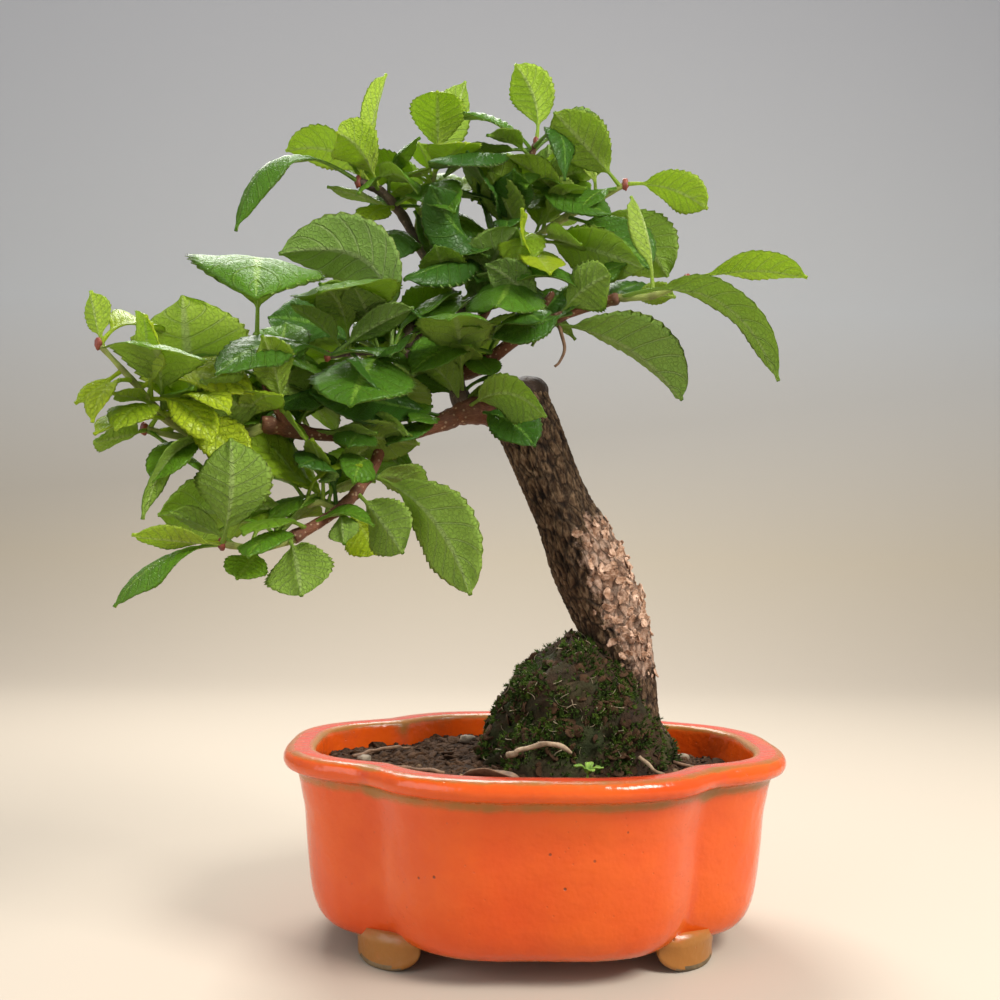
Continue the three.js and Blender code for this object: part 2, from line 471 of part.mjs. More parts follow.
// A mound of roots and moss wraps the left and front of the trunk's foot.
const MOUND = [[SOIL_TOP + SEAT_GAP, 11, 3, 28, 27], [58, 11, 3, 26, 25], [66, 12, 3, 22, 22],
  [75, 12, 3, 18, 18], [83, 11, 3, 13, 13], [89, 9, 3, 7, 8], [91, 8, 3, 3, 4]];
const moundRings = MOUND.map(([z, x, y, halfX, halfY]) => {
  const ring = [];
  for (let k = 0; k < 28; k++) {
    const angle = 2 * Math.PI * k / 28;
    const lump = 1 + 0.06 * Math.sin(3 * angle + z / 9) + 0.04 * Math.cos(5 * angle);
    ring.push(v3(x + halfX * lump * Math.cos(angle), y + halfY * lump * Math.sin(angle), z));
  }
  return ring;
});
addNode('moss_mound', toGeometry(
  toSolid(loft(moundRings)).subtract(stemSolid('trunk', SEAT_GAP))), MOSS);

export default group;
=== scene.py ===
# %% [markdown]
# # A young bonsai in a glazed pot
# This lesson builds a small broad-leaved tree: a chopped trunk that leans out of a mossy
# mound, long leafy branches, dark soil and a four-lobed pot with an orange glaze.
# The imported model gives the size, the place and the names of the pieces. Everything that
# follows makes finer pieces in the same places.

# %% Load the frame
import json
import math
import random

import bpy
from mathutils import Matrix, Vector, noise

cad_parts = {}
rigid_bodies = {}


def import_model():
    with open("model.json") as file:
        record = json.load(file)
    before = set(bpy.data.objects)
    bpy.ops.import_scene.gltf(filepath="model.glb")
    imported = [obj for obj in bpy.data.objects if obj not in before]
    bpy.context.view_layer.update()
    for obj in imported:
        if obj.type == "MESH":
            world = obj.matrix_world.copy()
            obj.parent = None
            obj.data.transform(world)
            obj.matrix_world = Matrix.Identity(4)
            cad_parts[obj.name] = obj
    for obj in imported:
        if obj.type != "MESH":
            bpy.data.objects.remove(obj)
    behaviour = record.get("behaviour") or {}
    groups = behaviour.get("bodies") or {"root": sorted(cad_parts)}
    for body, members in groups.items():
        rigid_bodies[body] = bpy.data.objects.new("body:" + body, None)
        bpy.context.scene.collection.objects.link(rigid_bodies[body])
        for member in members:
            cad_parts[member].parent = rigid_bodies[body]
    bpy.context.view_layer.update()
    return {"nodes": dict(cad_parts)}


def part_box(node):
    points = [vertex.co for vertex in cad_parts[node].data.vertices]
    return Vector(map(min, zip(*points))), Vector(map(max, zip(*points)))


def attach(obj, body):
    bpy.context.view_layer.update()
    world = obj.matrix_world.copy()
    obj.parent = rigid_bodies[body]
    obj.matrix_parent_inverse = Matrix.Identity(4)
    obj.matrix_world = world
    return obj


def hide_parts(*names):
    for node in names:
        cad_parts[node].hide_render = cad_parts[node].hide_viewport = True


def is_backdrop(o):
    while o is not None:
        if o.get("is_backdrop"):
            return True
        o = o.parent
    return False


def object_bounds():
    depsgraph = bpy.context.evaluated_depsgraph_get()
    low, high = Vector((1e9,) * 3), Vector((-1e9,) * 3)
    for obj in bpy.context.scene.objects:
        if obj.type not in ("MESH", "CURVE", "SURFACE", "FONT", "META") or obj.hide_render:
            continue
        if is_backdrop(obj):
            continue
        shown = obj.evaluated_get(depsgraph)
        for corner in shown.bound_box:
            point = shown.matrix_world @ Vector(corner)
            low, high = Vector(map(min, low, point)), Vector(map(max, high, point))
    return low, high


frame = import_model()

MM = 0.001
print("frame:", len(frame["nodes"]), "nodes")

# %% [markdown]
# ## Shader sums
# Most of the finishes mix a few noise patterns. Written as nodes this is long, so one small
# class wraps a socket and lets Python's operators add the Math nodes. Another class holds a
# material and makes any other node from its type, its settings and its socket values.

# %% A socket that can be added and multiplied
class Wire:
    """One output socket of a material, which takes part in sums."""

    def __init__(self, finish, socket):
        self.finish = finish
        self.socket = socket

    def sum(self, operation, *others):
        """A Math node on this value and the others."""
        values = dict(enumerate([self, *others]))
        return self.finish.node("ShaderNodeMath", {"operation": operation}, values)

    def __add__(self, other):
        return self.sum("ADD", other)

    __radd__ = __add__

    def __sub__(self, other):
        return self.sum("SUBTRACT", other)

    def __rsub__(self, other):
        return self.finish.node("ShaderNodeMath", {"operation": "SUBTRACT"}, {0: other, 1: self})

    def __mul__(self, other):
        return self.sum("MULTIPLY", other)

    __rmul__ = __mul__

    def __truediv__(self, other):
        return self.sum("DIVIDE", other)

    def __pow__(self, other):
        return self.sum("POWER", other)

    def size(self):
        """The value without its sign."""
        return self.sum("ABSOLUTE")

    def wave(self):
        """How far the value is from the nearest whole number, from 0 to 0.5."""
        return self.sum("PINGPONG", 0.5)


class Finish:
    """A material under construction, with a Principled shader at its end."""

    def __init__(self, name, **constants):
        self.material = bpy.data.materials.new(name)
        self.material.use_nodes = True
        self.tree = self.material.node_tree
        self.shader = self.tree.nodes["Principled BSDF"]
        self.output = self.tree.nodes["Material Output"]
        for socket, value in constants.items():
            self.shader.inputs[socket.replace("_", " ")].default_value = value
        self.place = self.tree.nodes.new("ShaderNodeTexCoord").outputs["Object"]

    def node(self, kind, settings=None, values=None, out=0):
        """A node of this kind, its settings and socket values set, as the Wire of one output."""
        made = self.tree.nodes.new(kind)
        for key, setting in (settings or {}).items():
            if key == "stops":
                while len(made.color_ramp.elements) > 1:
                    made.color_ramp.elements.remove(made.color_ramp.elements[-1])
                made.color_ramp.elements[0].position = setting[0][0]
                made.color_ramp.elements[0].color = (*setting[0][1], 1)
                for position, colour in setting[1:]:
                    made.color_ramp.elements.new(position).color = (*colour, 1)
            else:
                setattr(made, key, setting)
        for key, value in (values or {}).items():
            self.feed(made.inputs[key], value)
        return Wire(self, made.outputs[out])

    def feed(self, socket, value):
        """Links a Wire or a socket to this socket, or writes a plain value into it."""
        if isinstance(value, Wire):
            value = value.socket
        if isinstance(value, bpy.types.NodeSocket):
            self.tree.links.new(value, socket)
        elif isinstance(value, tuple) and len(value) == 3 and len(socket.default_value) == 4:
            socket.default_value = (*value, 1)
        else:
            socket.default_value = value

    def stretch(self, x, y, z, source=None):
        """The place on the piece, scaled along each axis, so a pattern can run along one."""
        return self.node("ShaderNodeVectorMath", {"operation": "MULTIPLY"},
                         {0: source or self.place, 1: (x, y, z)})

    def grain(self, scale, detail=4, rough=0.5, source=None):
        """Soft noise from 0 to 1; the scale counts blotches to the metre."""
        return self.node("ShaderNodeTexNoise", None, {
            "Vector": source or self.place, "Scale": scale, "Detail": detail,
            "Roughness": rough})

    def cells(self, scale, feature="F1", source=None, out=0):
        """The distance to scattered points, or to the walls between them."""
        return self.node("ShaderNodeTexVoronoi", {"feature": feature},
                         {"Vector": source or self.place, "Scale": scale}, out)

    def step(self, value, low, high):
        """0 under low, 1 over high, and a smooth climb between."""
        return self.node("ShaderNodeMapRange", {"interpolation_type": "SMOOTHSTEP"},
                         {"Value": value, "From Min": low, "From Max": high})

    def ramp(self, value, *stops):
        return self.node("ShaderNodeValToRGB", {"stops": stops}, {0: value})

    def blend(self, share, first, second, mode="MIX"):
        """First colour, turning to the second as the share goes from 0 to 1."""
        return self.node("ShaderNodeMix", {"data_type": "RGBA", "blend_type": mode},
                         {0: share, 6: first, 7: second}, out=2)

    def mark(self, name):
        """A number that the piece's mesh carries on its points or faces."""
        return self.node("ShaderNodeAttribute", {"attribute_name": name}, out=2)

    def relief(self, height, depth):
        """Bumps, whose full height is the depth in metres."""
        return self.node("ShaderNodeBump", None, {"Height": height, "Distance": depth})

    def wear(self, colour=None, rough=None, normal=None):
        """Sets what the shader shows."""
        for socket, value in (("Base Color", colour), ("Roughness", rough), ("Normal", normal)):
            if value is not None:
                self.feed(self.shader.inputs[socket], value)
        return self.material


# %% [markdown]
# ## Making pieces
# A piece is a mesh with its place in its points, so every builder here works in millimetres
# in the tree's own frame and the last step turns them into metres. Numbers that a finish
# needs, such as how worn an edge is, travel with the mesh as attributes.

# %% From points and faces to a piece
def make_piece(name, points, faces, finishes, marks=None, face_marks=None, chart=None,
               face_finish=None):
    """A smooth mesh piece; marks hold one number a point, the chart one (u, v) a point."""
    mesh = bpy.data.meshes.new(name)
    mesh.from_pydata([Vector(p) * MM for p in points], [], faces)
    for finish in finishes:
        mesh.materials.append(finish)
    mesh.shade_smooth()
    for mark, values in (marks or {}).items():
        mesh.attributes.new(mark, "FLOAT", "POINT").data.foreach_set("value", values)
    for mark, values in (face_marks or {}).items():
        mesh.attributes.new(mark, "FLOAT", "FACE").data.foreach_set("value", values)
    if face_finish:
        mesh.polygons.foreach_set("material_index", face_finish)
    if chart:
        layer = mesh.uv_layers.new(name="chart")
        for loop in mesh.loops:
            layer.data[loop.index].uv = chart[loop.vertex_index]
    mesh.update()
    piece = bpy.data.objects.new(name, mesh)
    bpy.context.scene.collection.objects.link(piece)
    return piece


def place_piece(piece, slot, *nodes):
    """The piece rides on the plant's one body and stands for the named nodes."""
    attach(piece, "root")
    if nodes:
        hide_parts(*nodes)
    return piece


class Shell:
    """Points and faces that are collected ring by ring."""

    def __init__(self):
        self.points, self.faces, self.marks, self.chart = [], [], {}, []

    def loft(self, rings, closed_ends=True):
        """Joins equal rings of points with quads; the first and last are capped."""
        start, n = len(self.points), len(rings[0])
        for ring in rings:
            self.points.extend(ring)
        for k in range(len(rings) - 1):
            for i in range(n):
                a, b = start + k * n + i, start + k * n + (i + 1) % n
                self.faces.append((a, b, b + n, a + n))
        if closed_ends:
            self.faces.append(tuple(range(start + n - 1, start - 1, -1)))
            last = start + (len(rings) - 1) * n
            self.faces.append(tuple(range(last, last + n)))
        return range(start, len(self.points))

    def put(self, mark, values):
        """Adds one number for each of the newest points."""
        self.marks.setdefault(mark, []).extend(values)


def smooth_path(knots, steps):
    """Catmull-Rom points through knots of any length, steps to each stretch."""
    path = []
    padded = [knots[0], *knots, knots[-1]]
    for i in range(1, len(padded) - 2):
        p0, p1, p2, p3 = padded[i - 1:i + 3]
        for j in range(steps):
            t = j / steps
            path.append(tuple(
                0.5 * (2 * b + (c - a) * t + (2 * a - 5 * b + 4 * c - d) * t * t
                       + (3 * b - a - 3 * c + d) * t ** 3)
                for a, b, c, d in zip(p0, p1, p2, p3)))
    path.append(tuple(knots[-1]))
    return path


# %% [markdown]
# ## Scattering small things
# Soil crumbs, moss and bark scales are all one idea: many
# copies of a small shape on a surface. Geometry Nodes do that well. The tree is built once,
# its sizes are named inputs, and the surface's own "sow" mark says where they may land.

# %% The scattering tree
def scattering_tree():
    tree = bpy.data.node_groups.new("Scatter", "GeometryNodeTree")
    sockets = {}
    for label, kind in (("Ground", "Geometry"), ("Grain", "Object"), ("Density", "Float"),
                        ("Smallest", "Float"), ("Largest", "Float"), ("Lean", "Float"),
                        ("Seed", "Int"), ("Finish", "Material")):
        made = tree.interface.new_socket(label, in_out="INPUT", socket_type=f"NodeSocket{kind}")
        sockets[label] = made.identifier
    tree.interface.new_socket("Result", in_out="OUTPUT", socket_type="NodeSocketGeometry")

    def add(kind, settings=None, **values):
        made = tree.nodes.new(kind)
        for key, setting in (settings or {}).items():
            setattr(made, key, setting)
        for key, value in values.items():
            socket = made.inputs[key.replace("_", " ")]
            if isinstance(value, bpy.types.NodeSocket):
                tree.links.new(value, socket)
            else:
                socket.default_value = value
        return made

    given = tree.nodes.new("NodeGroupInput").outputs
    sow = add("GeometryNodeInputNamedAttribute", {"data_type": "FLOAT"}, Name="sow")
    density = add("ShaderNodeMath", {"operation": "MULTIPLY"})
    tree.links.new(sow.outputs[0], density.inputs[0])
    tree.links.new(given["Density"], density.inputs[1])
    points = add("GeometryNodeDistributePointsOnFaces", Mesh=given["Ground"],
                 Density=density.outputs[0], Seed=given["Seed"])
    grain = add("GeometryNodeObjectInfo", Object=given["Grain"])
    turn = add("FunctionNodeRandomValue", {"data_type": "FLOAT_VECTOR"}, Seed=given["Seed"])
    reach = add("ShaderNodeCombineXYZ", X=given["Lean"], Y=given["Lean"], Z=3.14)
    back = add("ShaderNodeVectorMath", {"operation": "SCALE"})
    tree.links.new(reach.outputs[0], back.inputs[0])
    back.inputs["Scale"].default_value = -1
    tree.links.new(back.outputs[0], turn.inputs[0])
    tree.links.new(reach.outputs[0], turn.inputs[1])
    spin = add("FunctionNodeRotateRotation", {"rotation_space": "LOCAL"})
    tree.links.new(points.outputs["Rotation"], spin.inputs[0])
    tree.links.new(turn.outputs[0], spin.inputs[1])
    size = add("FunctionNodeRandomValue", {"data_type": "FLOAT"})
    tree.links.new(given["Smallest"], size.inputs[2])
    tree.links.new(given["Largest"], size.inputs[3])
    tree.links.new(given["Seed"], size.inputs["Seed"])
    copies = add("GeometryNodeInstanceOnPoints", Points=points.outputs["Points"],
                 Instance=grain.outputs["Geometry"], Rotation=spin.outputs[0])
    tree.links.new(size.outputs[1], copies.inputs["Scale"])
    real = add("GeometryNodeRealizeInstances", Geometry=copies.outputs[0])
    done = add("GeometryNodeSetMaterial", Geometry=real.outputs[0], Material=given["Finish"])
    tree.links.new(done.outputs[0], tree.nodes.new("NodeGroupOutput").inputs[0])
    return tree, sockets


SCATTER, SCATTER_INPUTS = scattering_tree()


def scatter(name, ground, grain, finish, density, smallest, largest, lean, seed):
    """A plain mesh of many grains on the ground piece, which itself is left as it was."""
    modifier = ground.modifiers.new(name, "NODES")
    modifier.node_group = SCATTER
    for label, value in (("Grain", grain), ("Density", density), ("Smallest", smallest),
                         ("Largest", largest), ("Lean", lean), ("Seed", seed),
                         ("Finish", finish)):
        modifier[SCATTER_INPUTS[label]] = value
    bpy.context.view_layer.update()
    seen = ground.evaluated_get(bpy.context.evaluated_depsgraph_get())
    mesh = bpy.data.meshes.new_from_object(seen)
    ground.modifiers.remove(modifier)
    mesh.name = name
    mesh.shade_smooth()
    piece = bpy.data.objects.new(name, mesh)
    bpy.context.scene.collection.objects.link(piece)
    print(name, len(mesh.polygons), "faces")
    return piece


def grain_shape(name, points, faces):
    """A small shape for scattering, in metres; it is taken away at the end."""
    mesh = bpy.data.meshes.new(name)
    mesh.from_pydata(points, [], faces)
    shape = bpy.data.objects.new(name, mesh)
    bpy.context.scene.collection.objects.link(shape)
    GRAINS.append(shape)
    return shape


GRAINS = []

# %% [markdown]
# ## The glaze
# The pot is dipped in an opaque orange glaze. On edges it runs thin and turns olive, over
# the rim and in the creases it breaks to a pinkish red, and a few specks of iron burn
# through. The mesh marks say where it is thin ("thin") and where it blushes ("blush").

# %% Orange glaze
def orange_glaze():
    finish = Finish("orange_glaze", Coat_Weight=0.2, Coat_Roughness=0.08, Specular_IOR_Level=0.4)
    cloud = finish.grain(28, 5, 0.6)
    mottle = finish.grain(160, 4, 0.6)
    fine = finish.grain(620, 3)
    thin = finish.step(finish.mark("thin") + (mottle - 0.5) * 0.7, 0.35, 0.95)
    blush = finish.step(finish.mark("blush") + (cloud - 0.5) * 1.3 + (mottle - 0.5) * 0.8,
                        0.3, 0.95)
    body = finish.blend(finish.step(cloud, 0.3, 0.75), (0.66, 0.068, 0.004), (0.76, 0.110, 0.007))
    body = finish.blend(blush * 0.8, body, (0.56, 0.048, 0.030))
    body = finish.blend(thin * 0.85, body, (0.27, 0.140, 0.024))
    speck = 1 - finish.step(finish.cells(150), 0.03, 0.085)
    speck = speck * finish.step(finish.grain(45, 2), 0.5, 0.62)
    pit = 1 - finish.step(finish.cells(420), 0.05, 0.16)
    pit = pit * finish.step(finish.grain(90, 2), 0.52, 0.6)
    body = finish.blend(speck * 0.85, body, (0.10, 0.035, 0.012))
    body = finish.blend(pit * 0.4, body, (0.55, 0.10, 0.015))
    rough = 0.13 + fine * 0.1 + thin * 0.18
    relief = finish.relief(cloud * 2 + mottle * 0.35 - speck * 0.25 - pit * 0.12, 0.0009)
    return finish.wear(body, rough, relief)


def bare_clay():
    finish = Finish("bare_clay", Roughness=0.75)
    body = finish.ramp(finish.grain(180, 5), (0.3, (0.10, 0.07, 0.035)), (0.7, (0.26, 0.17, 0.08)))
    return finish.wear(body, None, finish.relief(finish.grain(900, 4), 0.0004))


GLAZE, CLAY = orange_glaze(), bare_clay()

# %% [markdown]
# ## The pot
# Seen from above the pot has four lobes: two round ends and a wide front and back, which
# meet in soft creases. One formula gives the lip's outline, and the wall is that outline
# lofted up a profile: belly, waist, rolled lip, and down the inside to the floor.

# %% Pot outline and wall
POT_LOW, POT_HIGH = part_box("pot")
POT_LENGTH = (POT_HIGH[0] - POT_LOW[0]) / MM
POT_DEPTH = (POT_HIGH[1] - POT_LOW[1]) / MM
POT_HEIGHT = (POT_HIGH[2] - POT_LOW[2]) / MM
FOOT_HEIGHT, FLOOR_TOP = 6.2, 11.2
RIM_WIDTH = 9.6


def superellipse(angle, half_x, half_y):
    return ((abs(math.cos(angle)) / half_x) ** 3 + (abs(math.sin(angle)) / half_y) ** 3) ** (-1 / 3)


def lip_radius(angle):
    """Radius of the lip: the outer of the end lobes and of the front and back lobes."""
    ends = superellipse(angle, POT_LENGTH / 2, 44)
    sides = superellipse(angle, 53, POT_DEPTH / 2)
    return (ends ** 22 + sides ** 22) ** (1 / 22)


def crease_nearness(angle):
    """1 in a crease between two lobes, falling to 0 on the lobes."""
    ends = superellipse(angle, POT_LENGTH / 2, 44)
    sides = superellipse(angle, 53, POT_DEPTH / 2)
    return math.exp(-((ends - sides) / 2.6) ** 2)


WALL = [(30, FOOT_HEIGHT), (21, FOOT_HEIGHT), (15.2, 6.9), (12.4, 8.8), (10.6, 11.6), (9.2, 16),
        (8, 24), (7.2, 32), (6.6, 39), (5.6, 44), (4.9, 47.4), (4.0, 50.2), (2.4, 51.2),
        (0.8, 52), (0, 53.8), (0.5, 55.6), (1.9, 56.7), (4.2, 57), (7, 56.9), (8.7, 56.4),
        (9.5, 55.2), (9.9, 52), (11.4, 34), (13, 15), (14.6, 12), (18, FLOOR_TOP), (34, FLOOR_TOP)]
AROUND = 240


def pot_wall():
    shell = Shell()
    rings, thin, blush = [], [], []
    for inset, height in smooth_path(WALL, 4):
        ring = []
        lip = math.exp(-((height - 54) / 3.2) ** 2)
        for i in range(AROUND):
            angle = 2 * math.pi * i / AROUND
            crease = crease_nearness(angle)
            drip = noise.noise(Vector((math.cos(angle) * 5, math.sin(angle) * 5, height * 0.03)))
            r = lip_radius(angle) - inset * (1 + 0.05 * crease) + 0.35 * drip
            ring.append((r * math.cos(angle), r * math.sin(angle), height))
            inside = inset > 5.5 and height > 48
            edge = math.exp(-((height - 56.6) / 0.9) ** 2) * (inset < 3 or inset > 7.5)
            under_lip = 0.8 * math.exp(-((height - 49.8) / 2.4) ** 2) * (inset < 7)
            foot_line = 0.7 * math.exp(-((height - 7) / 2.0) ** 2)
            band = 0.5 * math.exp(-((inset - 9.4) / 0.8) ** 2) * inside
            thin.append(min(1, edge * 0.75 + under_lip + foot_line + band + 0.3 * crease))
            top = height > 56.3 and 1.4 < inset < 8.2
            blush.append(0.62 * top + 0.2 * lip + 0.35 * crease * (height > 12) + 0.2 * inside)
        rings.append(ring)
    shell.loft(rings)
    shell.marks = {"thin": thin, "blush": blush}
    return shell


# %% [markdown]
# Four bracket feet sit under the creases. Each is a short curved bar, deeper at its middle
# than at its curled ends, with worn clay on the sole.

# %% Feet, drain holes and the finished pot
FOOT_LINE = [(32.5, 33.5), (38, 33), (44, 29), (47.5, 23), (48.5, 17)]


def add_foot(shell, mirror_x, mirror_y):
    line = smooth_path(FOOT_LINE, 6)
    rings = []
    for i, (x, y) in enumerate(line):
        ahead, behind = line[min(i + 1, len(line) - 1)], line[max(i - 1, 0)]
        along = Vector((ahead[0] - behind[0], ahead[1] - behind[1], 0)).normalized()
        out = Vector((-along.y, along.x, 0))
        if out.dot(Vector((x, y, 0))) < 0:
            out = -out
        share = i / (len(line) - 1)
        curl = abs(2 * share - 1) ** 3
        half = 3.4 - 0.6 * curl
        sole = 4.6 * curl
        section = [(half * 1.1, 10.5), (half * 0.98, max(7, sole + 1.6)), (half * 0.78, sole + 1.5),
                   (half * 0.85, sole + 0.7), (half * 0.7, sole), (-half * 0.8, sole),
                   (-half, sole + 0.8), (-half, max(6, sole + 1.4)), (-half, 10.5)]
        ring = [((x + out.x * o) * mirror_x, (y + out.y * o) * mirror_y, z) for o, z in section]
        rings.append(ring)
    if mirror_x * mirror_y < 0:
        rings.reverse()
    added = shell.loft(rings)
    shell.put("thin", [1.0 if shell.points[i][2] < 7.5 else 0.75 for i in added])
    shell.put("blush", [0.2] * len(added))


def drilled(piece):
    """The piece with the two drain holes cut through its floor."""
    drills = []
    for side in (1, -1):
        ring = [(side * 24 + 6 * math.cos(a), 6 * math.sin(a)) for a in
                [2 * math.pi * i / 32 for i in range(32)]]
        shell = Shell()
        shell.loft([[(x, y, z) for x, y in ring] for z in (2, 16)])
        drills.append(make_piece(f"drill_{side}", shell.points, shell.faces, [CLAY]))
        cut = piece.modifiers.new("drain", "BOOLEAN")
        cut.operation, cut.object, cut.solver = "DIFFERENCE", drills[-1], "EXACT"
    bpy.context.view_layer.update()
    seen = piece.evaluated_get(bpy.context.evaluated_depsgraph_get())
    cut_mesh = bpy.data.meshes.new_from_object(seen)
    piece.modifiers.clear()
    piece.data = cut_mesh
    for drill in drills:
        bpy.data.objects.remove(drill)


pot_shell = pot_wall()
wall_only = make_piece("pot_wall", pot_shell.points, pot_shell.faces, [GLAZE, CLAY],
                       pot_shell.marks)
drilled(wall_only)
feet = Shell()
for mirror_x in (1, -1):
    for mirror_y in (1, -1):
        add_foot(feet, mirror_x, mirror_y)
sole = [1 if max(feet.points[i][2] for i in face) < 2.0 else 0 for face in feet.faces]
feet_piece = make_piece("pot_feet", feet.points, feet.faces, [GLAZE, CLAY], feet.marks,
                        face_finish=sole)
place_piece(wall_only, "glaze", "pot")
place_piece(feet_piece, "glaze")
print("pot:", round(POT_LENGTH), "x", round(POT_DEPTH), "x", round(POT_HEIGHT), "mm")

# %% [markdown]
# ## Soil
# The soil is a dark, moist mix of bark, grit and roots. Its top is a lumpy dish, a little
# lower near the right-hand wall, and a few thousand crumbs of three sizes lie on it.

# %% Soil finishes
def soil_finish(name, dark, light, scale):
    finish = Finish(name, Specular_IOR_Level=0.2)
    tone = finish.grain(scale, 5, 0.65)
    body = finish.ramp(tone, (0.30, dark), (0.72, light))
    rough = 0.72 + finish.grain(scale * 3) * 0.28
    return finish.wear(body, rough, finish.relief(finish.grain(scale * 5, 5, 0.7), 0.0008))


EARTH = soil_finish("damp_earth", (0.012, 0.006, 0.003), (0.060, 0.030, 0.014), 260)
CRUMB = soil_finish("soil_crumb", (0.018, 0.009, 0.004), (0.115, 0.058, 0.028), 170)
PUMICE = soil_finish("grit", (0.10, 0.060, 0.032), (0.34, 0.22, 0.12), 300)


# %% Soil block
def inner_inset(height):
    return RIM_WIDTH + 4 - 4 * (height - FLOOR_TOP) / (POT_HEIGHT - FLOOR_TOP)


def soil_height(x, y):
    """Height of the soil's top: mounded to the tree, sunk at the right-hand end."""
    lumps = noise.noise(Vector((x * 0.09, y * 0.09, 3.1))) * 1.3
    lumps += noise.noise(Vector((x * 0.3, y * 0.3, 7.7))) * 0.7
    sink = 2.4 / (1 + math.exp(-(x - 44) / 4))
    rise = 2.2 * math.exp(-((x - 14) / 34) ** 2 - ((y - 3) / 30) ** 2)
    return 48.9 + rise - sink + lumps


def soil_block():
    shell = Shell()
    rings = []
    for share, height in ((0.97, FLOOR_TOP + 0.4), (1.0, 30), (1.0, 46)):
        ring = []
        for i in range(160):
            angle = 2 * math.pi * i / 160
            r = (lip_radius(angle) - inner_inset(height) - 0.35) * share
            ring.append((r * math.cos(angle), r * math.sin(angle), height))
        rings.append(ring)
    for k in range(34):
        share = 1 - k / 34
        ring = []
        for i in range(160):
            angle = 2 * math.pi * i / 160
            r = (lip_radius(angle) - inner_inset(48) - 0.35) * share
            x, y = r * math.cos(angle), r * math.sin(angle)
            ring.append((x, y, soil_height(x, y)))
        rings.append(ring)
    shell.loft(rings)
    shell.put("sow", [1.0 if p[2] > 46.2 else 0.0 for p in shell.points])
    return shell


soil_shell = soil_block()
soil = make_piece("soil_top", soil_shell.points, soil_shell.faces, [EARTH], soil_shell.marks)
place_piece(soil, "soil", "soil")


# %% Crumbs
def lump(name, seed, squash=0.7):
    """A rough pebble of a few dozen faces, one unit across."""
    shell = Shell()
    rings = []
    for k in range(1, 5):
        polar = math.pi * k / 5
        ring = []
        for i in range(7):
            turn = 2 * math.pi * (i + 0.5 * (k % 2)) / 7
            spot = Vector((math.sin(polar) * math.cos(turn), math.sin(polar) * math.sin(turn),
                           -math.cos(polar)))
            r = 0.5 * (1 + 0.5 * noise.noise(spot * 1.7 + Vector((seed, 0, 0))))
            ring.append((spot.x * r, spot.y * r, spot.z * r * squash))
        rings.append(ring)
    shell.loft(rings)
    return grain_shape(name, shell.points, shell.faces)


crumb_a, crumb_b = lump("crumb_a", 1.3), lump("crumb_b", 5.9, 0.5)
chip = lump("chip", 9.1, 0.22)
for name, grain, finish, density, small, large, seed in (
        ("fine_crumbs", crumb_a, CRUMB, 330000, 0.0008, 0.0019, 3),
        ("coarse_crumbs", crumb_b, CRUMB, 70000, 0.0018, 0.0040, 8),
        ("bark_chips", chip, CRUMB, 14000, 0.003, 0.0065, 5),
        ("pale_grit", crumb_a, PUMICE, 7000, 0.0010, 0.0024, 12)):
    place_piece(scatter(name, soil, grain, finish, density, small, large, 0.6, seed), "soil")

# %% [markdown]
# ## Moss mound
# The tree was raised over its old root ball, so a steep mound of roots and earth wraps the
# left and the front of the trunk's foot. Moss covers it, with bark chips, pale root threads
# and grey lichen showing through.

# %% Mound body
MOUND = [(49, 12, 3, 28.5, 28), (54, 12, 3, 27.5, 26.5), (60, 12, 3, 26, 25),
         (66, 12, 3, 24, 23.5), (72, 12.5, 3, 21.5, 21.5), (77, 13, 3, 18, 18.5),
         (81.5, 13.5, 3, 13.5, 14.5), (85, 13.5, 3, 8.5, 10), (87.5, 13, 3, 4.5, 6),
         (89, 12, 3, 2, 2.4)]


def mound_body():
    shell = Shell()
    rings = []
    for height, x, y, half_x, half_y in smooth_path(MOUND, 5):
        ring = []
        for i in range(120):
            angle = 2 * math.pi * i / 120
            c, s = math.cos(angle), math.sin(angle)
            at = Vector((c * 1.6, s * 1.6, height * 0.07))
            lumps = 0.13 * noise.noise(at) + 0.11 * noise.noise(at * 2.7) + 0.08 * noise.noise(at * 6)
            roots = 0.05 * math.sin(5 * angle + 1.1 * math.sin(height * 0.08)) * (91 - height) / 42
            r = 1 + lumps + roots - 0.04
            ring.append((x + half_x * c * r, y + half_y * s * r,
                         height + 1.2 * noise.noise(at * 4)))
        rings.append(ring)
    shell.loft(rings)
    shell.put("sow", [max(0.12, min(1.0, 0.5 + 2.0 * noise.noise(Vector(p) * 0.11)))
                      * (p[2] > 51) for p in shell.points])
    return shell


def moss_finish(name, dark, light, tip):
    finish = Finish(name, Specular_IOR_Level=0.3, Subsurface_Weight=0.0)
    tone = finish.grain(210, 4, 0.6)
    body = finish.ramp(tone, (0.28, dark), (0.55, light), (0.8, tip))
    return finish.wear(body, 0.75 + finish.grain(500) * 0.2)


def root_ball_finish():
    finish = Finish("root_ball", Specular_IOR_Level=0.3)
    tone = finish.grain(150, 6, 0.7)
    patch = finish.grain(55, 3)
    body = finish.ramp(tone, (0.3, (0.010, 0.006, 0.003)), (0.6, (0.060, 0.032, 0.015)),
                       (0.8, (0.16, 0.095, 0.050)))
    body = finish.blend(finish.step(patch, 0.42, 0.62) * 0.8, body, (0.028, 0.042, 0.010))
    return finish.wear(body, 0.85, finish.relief(finish.grain(480, 6, 0.7), 0.0016))


